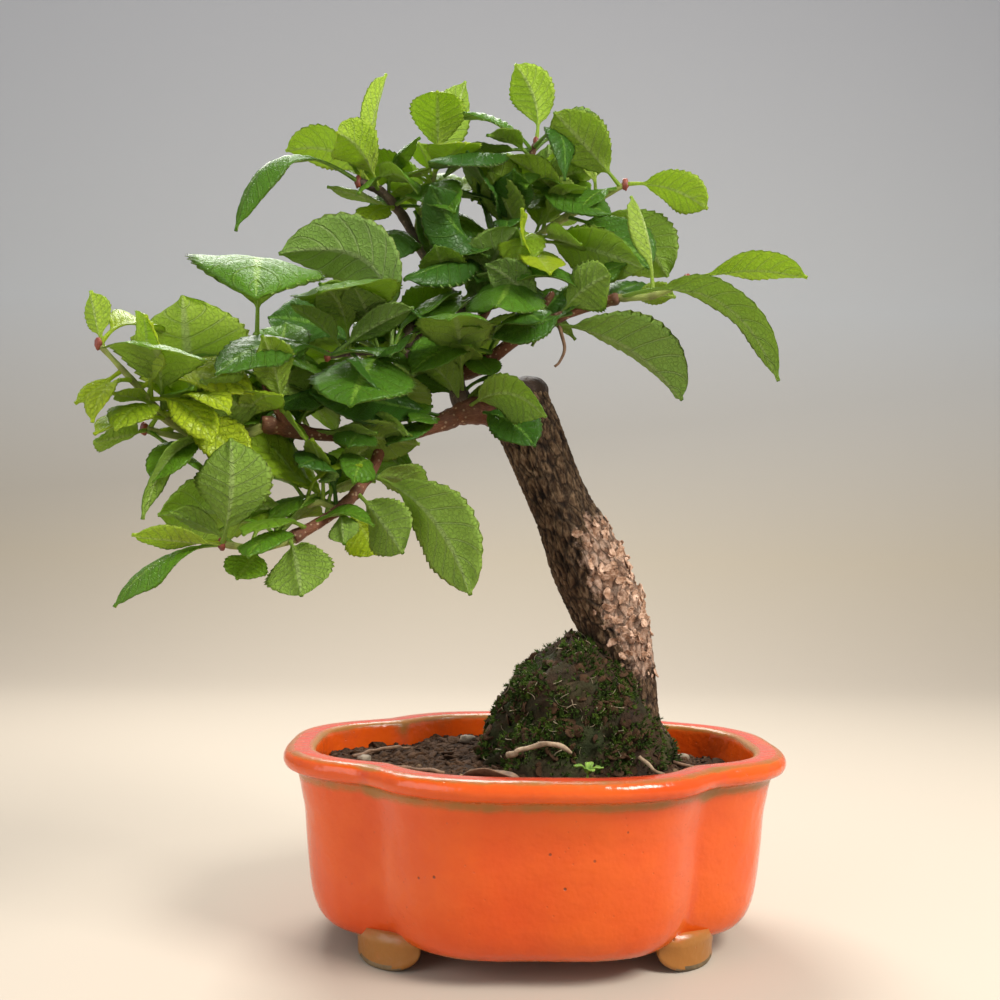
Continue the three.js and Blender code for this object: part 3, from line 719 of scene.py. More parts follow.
ROOT_BALL = root_ball_finish()
MOSS = moss_finish("moss", (0.014, 0.028, 0.003), (0.055, 0.105, 0.009), (0.17, 0.25, 0.022))
LICHEN = moss_finish("lichen", (0.20, 0.15, 0.09), (0.38, 0.31, 0.20), (0.6, 0.52, 0.36))
mound_shell = mound_body()
mound = make_piece("moss_mound_body", mound_shell.points, mound_shell.faces, [ROOT_BALL],
                   mound_shell.marks)
place_piece(mound, "moss", "moss_mound")


# %% Moss tufts, lichen threads and chips
def tuft():
    """Seven short blades that fan out from one root."""
    points, faces = [], []
    for i in range(7):
        turn = 2 * math.pi * i / 7 + 0.3 * (i % 3)
        lean = 0.15 + 0.28 * ((i * 5) % 7) / 7
        x, y = math.cos(turn), math.sin(turn)
        base = len(points)
        points += [(-y * 0.09, x * 0.09, 0), (y * 0.09, -x * 0.09, 0),
                   (x * lean * 0.6 + y * 0.08, y * lean * 0.6 - x * 0.08, 0.55),
                   (x * lean * 1.5, y * lean * 1.5, 1.0),
                   (x * lean * 0.6 - y * 0.08, y * lean * 0.6 + x * 0.08, 0.55)]
        faces += [(base, base + 1, base + 2, base + 4), (base + 4, base + 2, base + 3)]
    return grain_shape("tuft", points, faces)


def thread():
    """A thin bent fibre lying down."""
    shell = Shell()
    rings = []
    for k in range(7):
        t = k / 6
        bend = 0.18 * math.sin(3.4 * t)
        rings.append([(t - 0.5, bend + 0.035 * math.cos(a), 0.08 * math.sin(3 * t)
                       + 0.035 * math.sin(a)) for a in (0, 2.1, 4.2)])
    shell.loft(rings)
    return grain_shape("thread", shell.points, shell.faces)


moss_tuft, fibre = tuft(), thread()
for name, grain, finish, density, small, large, lean, seed in (
        ("moss_tufts", moss_tuft, MOSS, 1600000, 0.0007, 0.0019, 0.5, 4),
        ("lichen_threads", fibre, LICHEN, 110000, 0.0014, 0.0048, 0.7, 6),
        ("mound_chips", chip, CRUMB, 230000, 0.0014, 0.0044, 0.9, 9)):
    place_piece(scatter(name, mound, grain, finish, density, small, large, lean, seed), "moss")

# %% [markdown]
# ## The stems
# Trunk, branches and shoots are chains of points with a radius, in
# millimetres: (x, y, z, radius). The imported model's stems follow the same chains, so the
# fine ones lie in the same places, only smoother and with bark.

# %% Chains of the stems
STEMS = {
    "trunk": {"points": [
        [31, 8, 50.8, 12], [31, 8, 53, 11.5], [30, 8, 60, 10], [29, 7, 72, 9.5],
        [27, 6, 85, 10], [22, 5, 99, 11], [15, 3, 114, 11], [8, 2, 129, 9.5],
        [2, 1, 142, 9.5], [-3, 1, 154, 10], [-6, 1, 162, 9.5]]},
    "main_branch": {"parent": "trunk", "points": [
        [-9, 0, 156, 5.5], [-16, -2, 158, 4.5], [-23, -4, 157, 3], [-33, -8, 152, 2.2],
        [-42, -11, 149, 1.9], [-54, -16, 148, 1.8], [-66, -22, 148, 1.8], [-80, -29, 150, 2.2]]},
    "left_shoot": {"parent": "main_branch", "points": [
        [-78, -28, 150, 1.4], [-86, -31, 146, 1.3], [-98, -35, 145, 1.1], [-110, -38, 147, 0.9]]},
    "young_shoot": {"parent": "left_shoot", "points": [
        [-97, -35, 145, 1.1], [-105, -41, 151, 1.1], [-110, -47, 158, 0.8], [-119, -50, 168, 0.6]]},
    "upright_branchlet": {"parent": "main_branch", "points": [
        [-73, -26, 149.5, 1.8], [-78, -30, 160, 1.5], [-81, -33, 169, 1.3]]},
    "lower_branch": {"parent": "main_branch", "points": [
        [-47, -13, 148, 1.9], [-49, -16, 140, 1.7], [-54, -21, 131, 1.5], [-61, -27, 124, 1.5],
        [-70, -32, 118, 1.7]]},
    "lower_shoot": {"parent": "lower_branch", "points": [
        [-69, -31.5, 118, 1.1], [-78, -36, 115, 1], [-88, -39, 116, 0.8]]},
    "side_shoot": {"parent": "lower_branch", "points": [
        [-59, -25, 126, 1.1], [-63, -28, 128, 0.9], [-67, -29, 127, 0.8]]},
    "centre_stem": {"parent": "main_branch", "points": [
        [-22, -3.5, 157, 3], [-25, 0, 165, 2.4], [-25, 2, 173, 2.5], [-22, 5, 183, 2.6],
        [-24, 8, 191, 2.1], [-32, 13, 203, 1.7], [-39, 14, 214, 1.5], [-44, 13, 223, 1.4],
        [-51, 11, 230, 1.3], [-58, 8, 232, 1.1]]},
    "old_stub": {"parent": "centre_stem", "points": [
        [-23.5, 3, 177, 2.4], [-30, -2, 175, 2], [-36, -4, 178, 3.6], [-40, -5, 180, 4.6],
        [-43, -6, 181, 3.6]]},
    "left_twig": {"parent": "old_stub", "points": [
        [-34, -4.5, 176, 1.2], [-40, -9, 174, 1.1], [-50, -13, 174, 1], [-63, -20, 171, 0.8]]},
    "right_branch": {"parent": "centre_stem", "points": [
        [-24, 1.5, 170, 2.5], [-18, 0, 172, 2.3], [-10, -4, 178, 1.9], [0, -8, 184, 1.5],
        [12, -12, 188, 1.3], [23, -16, 191, 1.6]]},
    "right_tip": {"parent": "right_branch", "points": [
        [22, -15.5, 191, 1], [32, -19, 191, 0.9], [42, -22, 195, 0.8]]},
    "pruned_stub": {"parent": "right_branch", "points": [
        [-5, -6, 181, 1.4], [0, -5, 189, 1.2], [4, -4, 195, 1.1]]},
    "crown_stem": {"parent": "centre_stem", "points": [
        [-22, 5, 183, 1.8], [-16, 11, 193, 1.6], [-12, 14, 205, 1.4], [-8, 14, 222, 1.2],
        [-4, 13, 238, 1], [-1, 12, 248, 0.8]]},
    "upper_right": {"parent": "crown_stem", "points": [
        [-13, 13, 201, 1.3], [-6, 14, 212, 1.3], [5, 13, 221, 1.1], [17, 12, 228, 1.1],
        [28, 10, 234, 0.8]]},
    "top_left": {"parent": "centre_stem", "points": [
        [-40, 14, 215, 1.2], [-38, 17, 225, 1.1], [-33, 18, 242, 0.8]]},
}


def chain_share(name, share):
    """The place a share of the way along a stem's chain."""
    points = STEMS[name]["points"]
    steps = [math.dist(a[:3], b[:3]) for a, b in zip(points, points[1:])]
    left = share * sum(steps)
    i = 0
    while i < len(steps) - 1 and left > steps[i]:
        left -= steps[i]
        i += 1
    t = min(left / steps[i], 1)
    return Vector([a + t * (b - a) for a, b in zip(points[i][:3], points[i + 1][:3])])


def tube_frames(path):
    """(middle, across, out, radius, length so far) for each point of a smooth stem."""
    frames, length = [], 0
    for i, (x, y, z, radius) in enumerate(path):
        before, after = path[max(i - 1, 0)], path[min(i + 1, len(path) - 1)]
        along = (Vector(after[:3]) - Vector(before[:3])).normalized()
        across = Vector((0, 1, 0)).cross(along).normalized()
        out = along.cross(across)
        if i:
            length += math.dist(path[i - 1][:3], (x, y, z))
        frames.append((Vector((x, y, z)), across, out, radius, length))
    return frames

# %% [markdown]
# ## How the leaves grow
# Each row is one leaf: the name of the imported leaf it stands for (or None), its stem, how
# far along the stem it sits, its length, its heading and climb in degrees (0 points right, 90
# to the back, climb is up from level), how far its midrib bows up, its width, the way its
# upper side faces, how far its edges rise and how young it is, from 0 to 1.

# %% The leaves
LEAVES = [
    ("leaf_right_1", "right_tip", 0.95, 35, -15, 0, 3, 14, (0, 0.35, 0.9), 0.3, 0.95),
    ("leaf_right_2", "right_branch", 1, 58, -40, -30, 12, 17, (0.45, 0.35, 0.8), 0.25, 0.45),
    ("leaf_right_3", "right_branch", 0.55, 50, -25, -30, 6, 23, (0.5, 0.4, 0.75), 0.5, 0.25),
    ("leaf_right_4", "upper_right", 0.8, 27, -110, 75, 1, 13, (-0.7, 0.6, 0.2), 0.5, 0.8),
    ("leaf_right_5", "upper_right", 1, 28, -15, -20, 3, 15, (0, 0.6, 0.8), 0.1, 0.9),
    ("leaf_right_6", "upper_right", 0.75, 35, 5, -40, 3, 22, (0.3, 0.9, 0.2), 0.1, 0.4),
    (None, "right_tip", 0.5, 35, 115, 70, 3, 9, (-0.6, 0.7, 0.3), 0.6, 0.75),
    ("leaf_right_7", "upper_right", 0.6, 35, -30, -35, 3, 20, (0.1, -0.85, 0.5), 0.15, 0.2),
    ("leaf_right_8", "upper_right", 0.35, 47, -45, -20, 2, 18, (0, 0.85, 0.5), -0.6, 0.6),
    ("leaf_right_9", "right_branch", 0.65, 21, -40, 30, 2, 17, (0.2, 0.9, -0.1), 0.2, 0.55),
    (None, "right_branch", 0.9, 25, 50, 25, 1, 16, (0, -0.5, 0.8), 0, 0.1),
    (None, "right_branch", 0.5, 17, 35, 50, 1, 10, (0, -0.9, 0.3), 0, 0.15),
    (None, "crown_stem", 0.85, 26, 0, 15, 3, 7, (0, 0.3, 1), 0.3, 0.9),
    (None, "upper_right", 0.7, 13, -160, 30, 1, 9, (0, 0.8, 0.4), 0.2, 0.7),
    (None, "right_tip", 0.1, 17, 15, 5, 1, 9, (0, 0.6, 0.7), 0.2, 0.7),
    ("leaf_crown_1", "crown_stem", 1, 25, -150, 70, 4, 15, (0.2, 0.9, 0.2), 0.15, 0.85),
    ("leaf_crown_2", "top_left", 1, 24, -90, 45, 4, 18, (0, 0.7, 0.7), 0.2, 0.9),
    ("leaf_crown_3", "top_left", 0.8, 39, 40, 70, 0, 15, (-0.3, 0.8, 0.3), 0.3, 0.7),
    (None, "crown_stem", 0.95, 27, -150, 15, 4, 17, (0, -0.45, 0.9), -0.2, 0.35),
    ("leaf_crown_4", "crown_stem", 0.9, 46, -135, -15, 3, 18, (0, -0.3, 0.95), -0.5, 0.05),
    ("leaf_crown_5", "upper_right", 0.35, 36, 55, 75, -3, 21, (0.2, 0.95, 0.1), 0.1, 0.2),
    (None, "crown_stem", 0.97, 26, -65, -40, 10, 13, (0.4, -0.3, 0.8), -0.2, 0.1),
    (None, "top_left", 0.75, 18, 30, 20, -3, 12, (0, -0.5, 0.8), 0, 0.7),
    ("leaf_crown_6", "crown_stem", 0.5, 39, -130, 15, -7, 19, (-0.35, -0.8, 0.45), -0.2, 0.1),
    (None, "centre_stem", 0.87, 22, -40, 55, 6, 8, (-0.6, 0.2, 0.7), -0.5, 0.3),
    (None, "top_left", 0.3, 26, 145, 60, 1, 13, (0, -0.8, 0.5), 0, 0.65),
    (None, "top_left", 0.8, 13, -120, 45, 1, 8, (0.3, 0.9, 0), 0.2, 0.8),
    (None, "crown_stem", 0.57, 24, -90, 35, 0, 14, (0, -0.9, 0.3), 0.1, 0.1),
    (None, "crown_stem", 0.4, 31, -145, 70, 0, 12, (0.85, -0.3, 0.2), 0, 0.15),
    (None, "upper_right", 0.3, 40, -95, 0, -5, 10, (0.3, -0.9, 0.2), 0.1, 1),
    (None, "upper_right", 0.32, 48, -85, -25, 0, 14, (0.1, -0.9, 0.3), 0.15, 1),
    ("leaf_crown_7", "upper_right", 0.25, 58, -100, -30, -2, 24, (-0.1, -0.75, 0.6), -0.35, 0.35),
    ("leaf_middle_1", "right_branch", 0.15, 37, -65, 10, 8, 18, (0, -0.75, 0.6), -0.2, 0.15),
    ("leaf_middle_2", "centre_stem", 0.05, 47, -95, 20, 12, 23, (0, 0.2, 0.95), -0.2, 0.4),
    ("leaf_middle_3", "crown_stem", 0.45, 50, -130, -20, 2, 16, (0, -0.45, 0.9), -0.5, 0.12),
    ("leaf_middle_4", "left_twig", 0.55, 37, -110, 15, 10, 33, (0, 0.2, 0.95), -0.1, 0.55),
    ("leaf_middle_5", "left_twig", 0.45, 42, -100, -30, 3, 30, (0, -0.7, 0.7), -0.15, 0.3),
    ("leaf_middle_6", "main_branch", 0.25, 46, -150, 5, 1, 21, (0, -0.8, 0.5), 0.1, 0.1),
    ("leaf_middle_7", "left_twig", 0.65, 33, 165, 20, 3, 22, (0, -0.85, 0.45), 0.1, 0.1),
    ("leaf_upper_left_1", "left_twig", 0.4, 44, -175, 40, 16, 22, (0.2, 0.8, 0.5), 0.3, 0.15),
    ("leaf_upper_left_2", "centre_stem", 1, 47, -145, -30, 15, 14, (-0.3, -0.3, 0.9), -0.5, 0.3),
    ("leaf_upper_left_3", "centre_stem", 0.95, 33, 165, 25, 6, 17, (0, 0.5, 0.8), 0.1, 0.85),
    (None, "centre_stem", 0.92, 28, -115, 20, 4, 16, (0, 0.9, 0.3), 0.3, 0.95),
    (None, "centre_stem", 0.99, 44, 65, 70, 2, 10, (-0.8, 0.4, 0.2), 0.3, 0.95),
    (None, "centre_stem", 0.97, 21, 105, 45, 1, 12, (0, 0.9, 0.2), 0, 0.5),
    (None, "centre_stem", 0.84, 18, -125, -30, 2, 12, (-0.2, -0.8, 0.4), 0, 0.75),
    (None, "centre_stem", 0.8, 15, 150, 20, 3, 12, (0, -0.8, 0.5), 0, 0.15),
    ("leaf_upper_left_4", "centre_stem", 0.7, 26, -115, -30, 7, 20, (-0.1, -0.7, 0.6), -0.3, 0.08),
    ("leaf_left_1", "upright_branchlet", 1, 33, -80, 15, 20, 36, (0, 0.3, 1), -0.1, 0.45),
    ("leaf_left_2", "left_shoot", 0.6, 41, 145, 80, 0, 35, (0, 0.95, 0.2), 0.2, 0.8),
    ("leaf_left_3", "young_shoot", 0.3, 36, -80, 20, 8, 26, (0, 0.4, 0.9), -0.1, 0.6),
    ("leaf_left_4", "left_twig", 0.97, 45, -125, -15, 6, 16, (-0.1, -0.85, 0.5), -0.2, 0.25),
    (None, "left_shoot", 0.97, 16, -130, -15, 0, 17, (0, 0.6, 0.8), 0.1, 0.6),
    (None, "young_shoot", 0.25, 24, -125, -15, 2, 10, (0, -0.3, 0.9), 0.2, 0.95),
    ("leaf_left_5", "left_shoot", 0.35, 37, -125, -40, 8, 14, (-0.7, 0.2, 0.7), -0.2, 0.4),
    ("leaf_low_1", "lower_shoot", 1, 29, -65, 75, -6, 21, (0, 0.95, 0.15), 0.1, 0.5),
    ("leaf_low_2", "side_shoot", 0.9, 41, -170, -5, 0, 22, (0, 0.85, 0.5), 0.1, 0.55),
    (None, "lower_shoot", 0.95, 25, -150, 5, 0, 12, (0, 0.5, 0.85), 0, 1),
    ("leaf_low_3", "lower_shoot", 0.9, 34, -170, -30, 5, 15, (-0.2, -0.35, 0.9), -0.3, 0.45),
    (None, "lower_shoot", 0.05, 28, -105, -10, 4, 15, (-0.3, -0.7, 0.6), -0.2, 0.45),
    (None, "lower_shoot", 0.5, 16, -105, -30, 0, 12, (0, -0.9, 0.3), 0, 0.6),
    (None, "lower_shoot", 0.1, 23, -70, -40, 2, 19, (0, 0.95, -0.1), 0.1, 0.5),
    (None, "side_shoot", 0.95, 27, 165, 30, 4, 12, (0, 0.6, 0.7), 0.3, 0.5),
    (None, "lower_branch", 0.65, 22, -115, 30, 8, 15, (0, -0.7, 0.6), -0.1, 0.1),
    ("leaf_low_4", "lower_branch", 0.3, 52, -40, -40, 7, 22, (0.35, 0.85, 0.35), 0.1, 0.5),
    (None, "lower_branch", 0.45, 27, -45, -40, 1, 17, (0.3, 0.9, 0.2), 0.1, 0.5),
    (None, "lower_branch", 0.55, 20, 50, -50, 0, 15, (0.2, -0.9, 0.2), 0, 0.85),
    (None, "lower_branch", 0.6, 19, -80, -35, 0, 9, (0, 0.9, 0.2), 0.1, 0.35),
    (None, "main_branch", 0.45, 22, 110, -45, 0, 18, (0, -0.9, 0.3), 0, 0.2),
    (None, "main_branch", 0.65, 18, 105, -45, 0, 15, (0, -0.9, 0.3), 0, 0.5),
    (None, "main_branch", 0.85, 25, 125, -30, 2, 22, (0, -0.9, 0.3), 0, 0.15),
    (None, "main_branch", 0.88, 28, 85, 40, 0, 18, (0, -0.9, 0.2), 0, 0.45),
    (None, "upright_branchlet", 0.4, 25, -130, 5, -4, 17, (0, 0.95, 0.2), 0.1, 0.5),
    (None, "upright_branchlet", 0.5, 17, 125, 20, 0, 13, (0, 0.9, 0.1), 0, 0.4),
    (None, "left_shoot", 0.2, 23, 130, 15, 2, 15, (0, -0.9, 0.3), 0, 0.1),
    (None, "upright_branchlet", 0.35, 17, 60, 65, -2, 14, (0, 0.9, 0.3), 0.2, 0.5),
    (None, "left_twig", 0.3, 27, 130, 30, 1, 20, (0, 0.9, 0.2), 0.1, 0.9),
    (None, "main_branch", 0.28, 19, -120, -5, 1, 9, (0, -0.7, 0.6), 0, 0.3),
    ("leaf_middle_8", "main_branch", 0.2, 32, -40, -5, 7, 17, (0.2, 0.75, 0.6), -0.4, 0.5),
    (None, "main_branch", 0.15, 28, -45, -25, 3, 16, (0.1, -0.8, 0.5), 0, 0.1),
    (None, "centre_stem", 0.07, 21, -35, 0, 5, 9, (0, -0.5, 0.85), 0, 0.15),
    (None, "centre_stem", 0.08, 23, 125, 40, 0, 12, (0, -0.9, 0.3), 0, 0.2),
    (None, "centre_stem", 0.06, 19, 160, 20, 1, 7, (0, -0.9, 0.3), 0, 0.1),
    (None, "young_shoot", 0.95, 17, 145, 70, 0, 9, (0.3, 0.9, 0.2), 0.2, 1),
    (None, "young_shoot", 0.65, 20, -110, -40, 4, 11, (-0.5, -0.8, 0.2), 0.1, 1),
    (None, "young_shoot", 0.75, 15, -160, -40, 0, 8, (0, -0.6, 0.7), 0, 1),
    (None, "young_shoot", 0.4, 15, -115, 5, 1, 8, (0, 0.7, 0.6), 0, 0.85),
]
PETIOLE_SHARE = 0.16
PETIOLE_RADIUS = 0.6


def midrib_of(stem, share, length, heading, climb, arch):
    """Start, control and end of the midrib's curve."""
    turn, tilt = math.radians(heading), math.radians(climb)
    reach = Vector((math.cos(turn) * math.cos(tilt), math.sin(turn) * math.cos(tilt), math.sin(tilt)))
    bow = (Vector((0, 0, 1)) - reach * reach.z).normalized()
    start = chain_share(stem, share)
    end = start + reach * length
    return start, (start + end) / 2 + bow * 2 * arch, end


def half_width(share, width):
    """Half the leaf's width: bare stalk first, widest past the middle, then the tip."""
    blade = max(share - PETIOLE_SHARE, 0) / (1 - PETIOLE_SHARE)
    return width / 2 * max(0, math.sin(math.pi * blade ** 1.25)) ** 0.8


print("leaves:", len(LEAVES), "of which", sum(row[0] is not None for row in LEAVES), "have a node")

# %% [markdown]
# ## Trunk and bark
# The bark of this little tree is a net of stringy ridges that run up the trunk, dark in the
# furrows and grey-brown on top. On the right the old outer plates are peeling off and show
# paler, pinkish wood underneath, so a "peel" mark grows there. That mark is centred on the
# side that faces the key light, so its pale colour is partly painted light on the lit side. A
# "damp" mark greens the foot of the trunk, and a weaker part of it darkens the left side as
# painted shade.

# %% Bark finishes
def bark_finish():
    finish = Finish("fibrous_bark", Specular_IOR_Level=0.3)
    chart = finish.node("ShaderNodeUVMap", {"uv_map": "chart"})
    strings = finish.stretch(1, 0.42, 1, chart)
    fibre = finish.grain(38, 8, 0.8, strings)
    coarse = finish.grain(8, 5, 0.7, strings)
    crack = finish.cells(26, "DISTANCE_TO_EDGE", finish.stretch(1, 0.45, 1, chart))
    furrow = finish.step(crack + (fibre - 0.5) * 0.35, -0.02, 0.11)
    ridge = finish.mark("ridge")
    # Pale pinkish peeling bark, centred on the side facing the key light: real peeling wood and painted
    # light on the lit side.
    peel = finish.step(finish.mark("peel") + (finish.grain(260, 4, 0.65) - 0.5) * 1.4, 0.42, 0.62)
    body = finish.ramp(fibre * 0.6 + coarse * 0.25 + ridge * 0.3,
                       (0.32, (0.020, 0.010, 0.005)), (0.50, (0.080, 0.043, 0.021)),
                       (0.64, (0.20, 0.120, 0.063)), (0.80, (0.40, 0.27, 0.16)))
    pale = finish.ramp(finish.grain(420, 5, 0.7), (0.30, (0.16, 0.075, 0.042)),
                       (0.42, (0.50, 0.29, 0.19)), (0.60, (0.80, 0.56, 0.42)))
    # Mixes in the pale peel colour: real peeling wood plus painted light on the key-lit side.
    body = finish.blend(peel * 0.85, body, pale)
    body = finish.blend((1 - furrow) * (0.6 - peel * 0.3), body, (0.013, 0.008, 0.005))
    # Darker green where damp: real damp at the foot of the trunk, and painted shade on its left side.
    green = finish.step(finish.mark("damp") + (finish.grain(170, 4) - 0.5), 0.5, 0.8)
    body = finish.blend(green * 0.7, body, (0.035, 0.055, 0.012))
    relief = finish.relief(fibre * 1.1 + furrow * 0.9 + peel * 0.3, 0.0019)
    return finish.wear(body, 0.62 + fibre * 0.3, relief)


def flake_finish():
    finish = Finish("bark_flake", Specular_IOR_Level=0.3)
    tone = finish.grain(350, 5, 0.7)
    body = finish.ramp(tone, (0.30, (0.08, 0.04, 0.02)), (0.44, (0.36, 0.20, 0.12)),
                       (0.62, (0.76, 0.52, 0.38)))
    return finish.wear(body, 0.8, finish.relief(finish.grain(1100, 4, 0.7), 0.0004))


BARK, FLAKE = bark_finish(), flake_finish()


# %% Trunk
def trunk_shell():
    shell = Shell()
    path = smooth_path([tuple(p) for p in STEMS["trunk"]["points"]], 26)
    frames = tube_frames(path)
    total = frames[-1][4]
    rings, ridges, peels_and_lit_side, damp, sow, chart = [], [], [], [], [], []
    around = 168
    for middle, across, out, radius, length in frames:
        ring = []
        flare = 2.2 * math.exp(-length / 7)
        for i in range(around):
            angle = 2 * math.pi * i / around
            c, s = math.cos(angle), math.sin(angle)
            at = Vector((c * 1.1, s * 1.1, length * 0.028))
            burl = 0.085 * noise.noise(at * 1.6 + Vector((4, 0, 0)))
            string = noise.noise(Vector((c * 7.5, s * 7.5, length * 0.24)))
            fine = noise.noise(Vector((c * 19, s * 19, length * 0.8 + 9)))
            ridge = 1.05 - 1.5 * abs(string) - 0.9 * abs(fine)
            # The right-front side faces the key light: the band here is real peeling bark and also painted
            # light.
            right = max(0, math.cos(angle + 0.75)) ** 1.2
            height_band = math.exp(-((middle.z - 100) / 24) ** 4)
            scab_on_lit_side = right * height_band
            plate = max(0, noise.noise(Vector((c * 5, s * 5, length * 0.24 + 30)))) * scab_on_lit_side
            root = 0.16 * math.exp(-length / 11) * math.sin(5 * angle + 0.6)
            r = radius * (0.985 + burl + root + 0.08 * (ridge - 0.5) + 0.22 * plate) + flare
            ring.append(middle + across * (r * c) + out * (r * s))
            ridges.append(ridge)
            # Peel mark: peeling bark, partly painted light on the side that faces the key light.
            peels_and_lit_side.append(min(1, 1.15 * scab_on_lit_side))
            # Damp near the foot, plus a weaker term that darkens the left side as painted shade.
            damp.append(math.exp(-length / 16) * 0.9 + 0.25 * max(0, -c) * math.exp(-length / 60))
            sow.append(max(0, scab_on_lit_side - 0.2) * (0.5 + 2.2 * max(0, string)))
            chart.append((i / around, length / (2 * math.pi * 10)))
        rings.append(ring)
    shell.loft(rings)
    shell.marks = {"ridge": ridges, "peel": peels_and_lit_side, "damp": damp, "sow": sow}
    shell.chart = chart
    print("trunk:", round(total), "mm along its lean")
    return shell


trunk_made = trunk_shell()
trunk = make_piece("trunk_bark", trunk_made.points, trunk_made.faces, [BARK], trunk_made.marks,
                   chart=trunk_made.chart)
place_piece(trunk, "bark", "trunk")


# %% Peeling plates
def bark_plate():
    """A small curled scale of bark, longer than wide, lifted at one end."""
    points, faces = [], []
    for k in range(5):
        t = k / 4
        width = 0.34 * math.sin(0.5 + 2.3 * t)
        lift = 0.02 + 0.34 * max(0, t - 0.35) ** 1.6
        for u in (-1, -0.35, 0.4, 1):
            wobble = 0.06 * math.sin(9 * t + 4 * u)
            points.append((u * width + wobble, t - 0.4, lift + 0.06 * u * u))
    for k in range(4):
        for i in range(3):
            a = k * 4 + i
            faces.append((a, a + 1, a + 5, a + 4))
    top = len(points)
    points += [(x, y, z - 0.07) for x, y, z in points]
    faces += [tuple(top + v for v in reversed(face)) for face in faces[:12]]
    rim = [0, 1, 2, 3, 7, 11, 15, 19, 18, 17, 16, 12, 8, 4]
    faces += [(b, a, a + top, b + top) for a, b in zip(rim, rim[1:] + rim[:1])]
    return grain_shape("bark_plate", points, faces)


plates = scatter("bark_plates", trunk, bark_plate(), FLAKE, 260000, 0.0014, 0.0040, 0.26, 11)
place_piece(plates, "bark")
# This mark also holds the painted shade of the left side; only values above 0.42, near the foot, sow moss.
trunk_damp_and_shade = trunk_made.marks["damp"]
trunk.data.attributes["sow"].data.foreach_set("value", [max(0, d - 0.42) for d in trunk_damp_and_shade])
place_piece(scatter("trunk_moss", trunk, moss_tuft, MOSS, 900000, 0.0006, 0.0016, 0.4, 14), "moss")


# %% [markdown]
# The chopped top is sealed with dark wound paste that has set into a soft, glossy skin over
# the stump, thicker at one side.

# %% Wound paste
def paste_finish():
    finish = Finish("wound_paste", Specular_IOR_Level=0.12)
    tone = finish.grain(120, 4)
    body = finish.ramp(tone, (0.3, (0.014, 0.008, 0.005)), (0.7, (0.060, 0.036, 0.024)))
    relief = finish.relief(finish.grain(190, 4, 0.6), 0.0016)
    return finish.wear(body, 0.42 + finish.grain(300) * 0.3, relief)


def paste_cap():
    shell = Shell()
    end, before = [Vector(p[:3]) for p in (STEMS["trunk"]["points"][-1], STEMS["trunk"]["points"][-2])]
    along = (end - before).normalized()
    across = Vector((0, 1, 0)).cross(along).normalized()
    out = along.cross(across)
    profile = smooth_path([(-1.6, 9.4), (0.4, 10.1), (2.2, 9.9), (4.2, 8.6), (5.6, 6),
                           (6.1, 3), (6.2, 0.4)], 5)
    rings = []
    for height, radius in profile:
        ring = []
        for i in range(60):
            angle = 2 * math.pi * i / 60
            c, s = math.cos(angle), math.sin(angle)
            sag = 0.10 * noise.noise(Vector((c * 1.4, s * 1.4, 2))) * radius
            dent = 0.7 * noise.noise(Vector((c * radius * 0.2, s * radius * 0.2, 5)))
            r = radius + sag
            ring.append(end + along * (height + dent) + across * (r * c) + out * (r * s))
        rings.append(ring)
    shell.loft(rings)
    return shell


cap = paste_cap()
place_piece(make_piece("paste_cap", cap.points, cap.faces, [paste_finish()]), "wound_paste",
            "wound_paste_cap")

# %% [markdown]
# ## Drain screens
# Squares of plastic mesh lie over the two drain holes and keep the soil in. They are hidden
# under the soil, so each is a plain grid of crossing bars.

# %% Screens
def screen_finish():
    finish = Finish("screen_plastic", Specular_IOR_Level=0.4)
    tone = finish.grain(300, 3)
    body = finish.ramp(tone, (0.3, (0.012, 0.014, 0.016)), (0.7, (0.030, 0.034, 0.038)))
    return finish.wear(body, 0.4 + tone * 0.2, finish.relief(tone, 0.0002))


SCREEN = screen_finish()
for node in ("drain_screen_right", "drain_screen_left"):
    low, high = (Vector(corner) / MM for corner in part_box(node))
    grid = Shell()
    bars = 9
    for across in (0, 1):
        for k in range(bars):
            middle = low[1 - across] + 0.4 + k * (high[1 - across] - low[1 - across] - 0.8) / (bars - 1)
            z0, z1 = (low.z, high.z) if across else (low.z + 0.15, high.z - 0.15)
            section = [(middle - 0.4, z0), (middle + 0.4, z0), (middle + 0.4, z1), (middle - 0.4, z1)]
            if across:
                rings = [[(m, y, z) for m, z in section] for y in (high.y, low.y)]
            else:
                rings = [[(x, m, z) for m, z in section] for x in (low.x, high.x)]
            grid.loft(rings)
    place_piece(make_piece(node + "_mesh", grid.points, grid.faces, [SCREEN]), "screen", node)


# %% [markdown]
# ## Branches and shoots
# Old stems are grey-brown and rough, the next year's wood is red-brown and dotted with pale
# lenticels, and this year's shoots are still green. A stem swells a little wherever a leaf
# or a side stem grows, so each path gets small bumps there before it is lofted.

# %% Stem finishes
def stem_finish(name, *stops, dots=0.0, bumps=0.0004):
    finish = Finish(name, Specular_IOR_Level=0.4)
    chart = finish.node("ShaderNodeUVMap", {"uv_map": "chart"})
    streak = finish.grain(7, 5, 0.65, finish.stretch(6, 1, 1, chart))
    patch = finish.grain(130, 4)
    body = finish.ramp(streak * 0.6 + patch * 0.4, *stops)
    if dots:
        pale = 1 - finish.step(finish.cells(620), 0.16, 0.30)
        body = finish.blend(pale * dots, body, (0.52, 0.36, 0.22))
    ring = finish.step(finish.mark("node"), 0.35, 0.9)
    body = finish.blend(ring * 0.4, body, (0.07, 0.035, 0.018), "MIX")
    return finish.wear(body, 0.45 + streak * 0.3, finish.relief(streak + patch * 0.5, bumps))


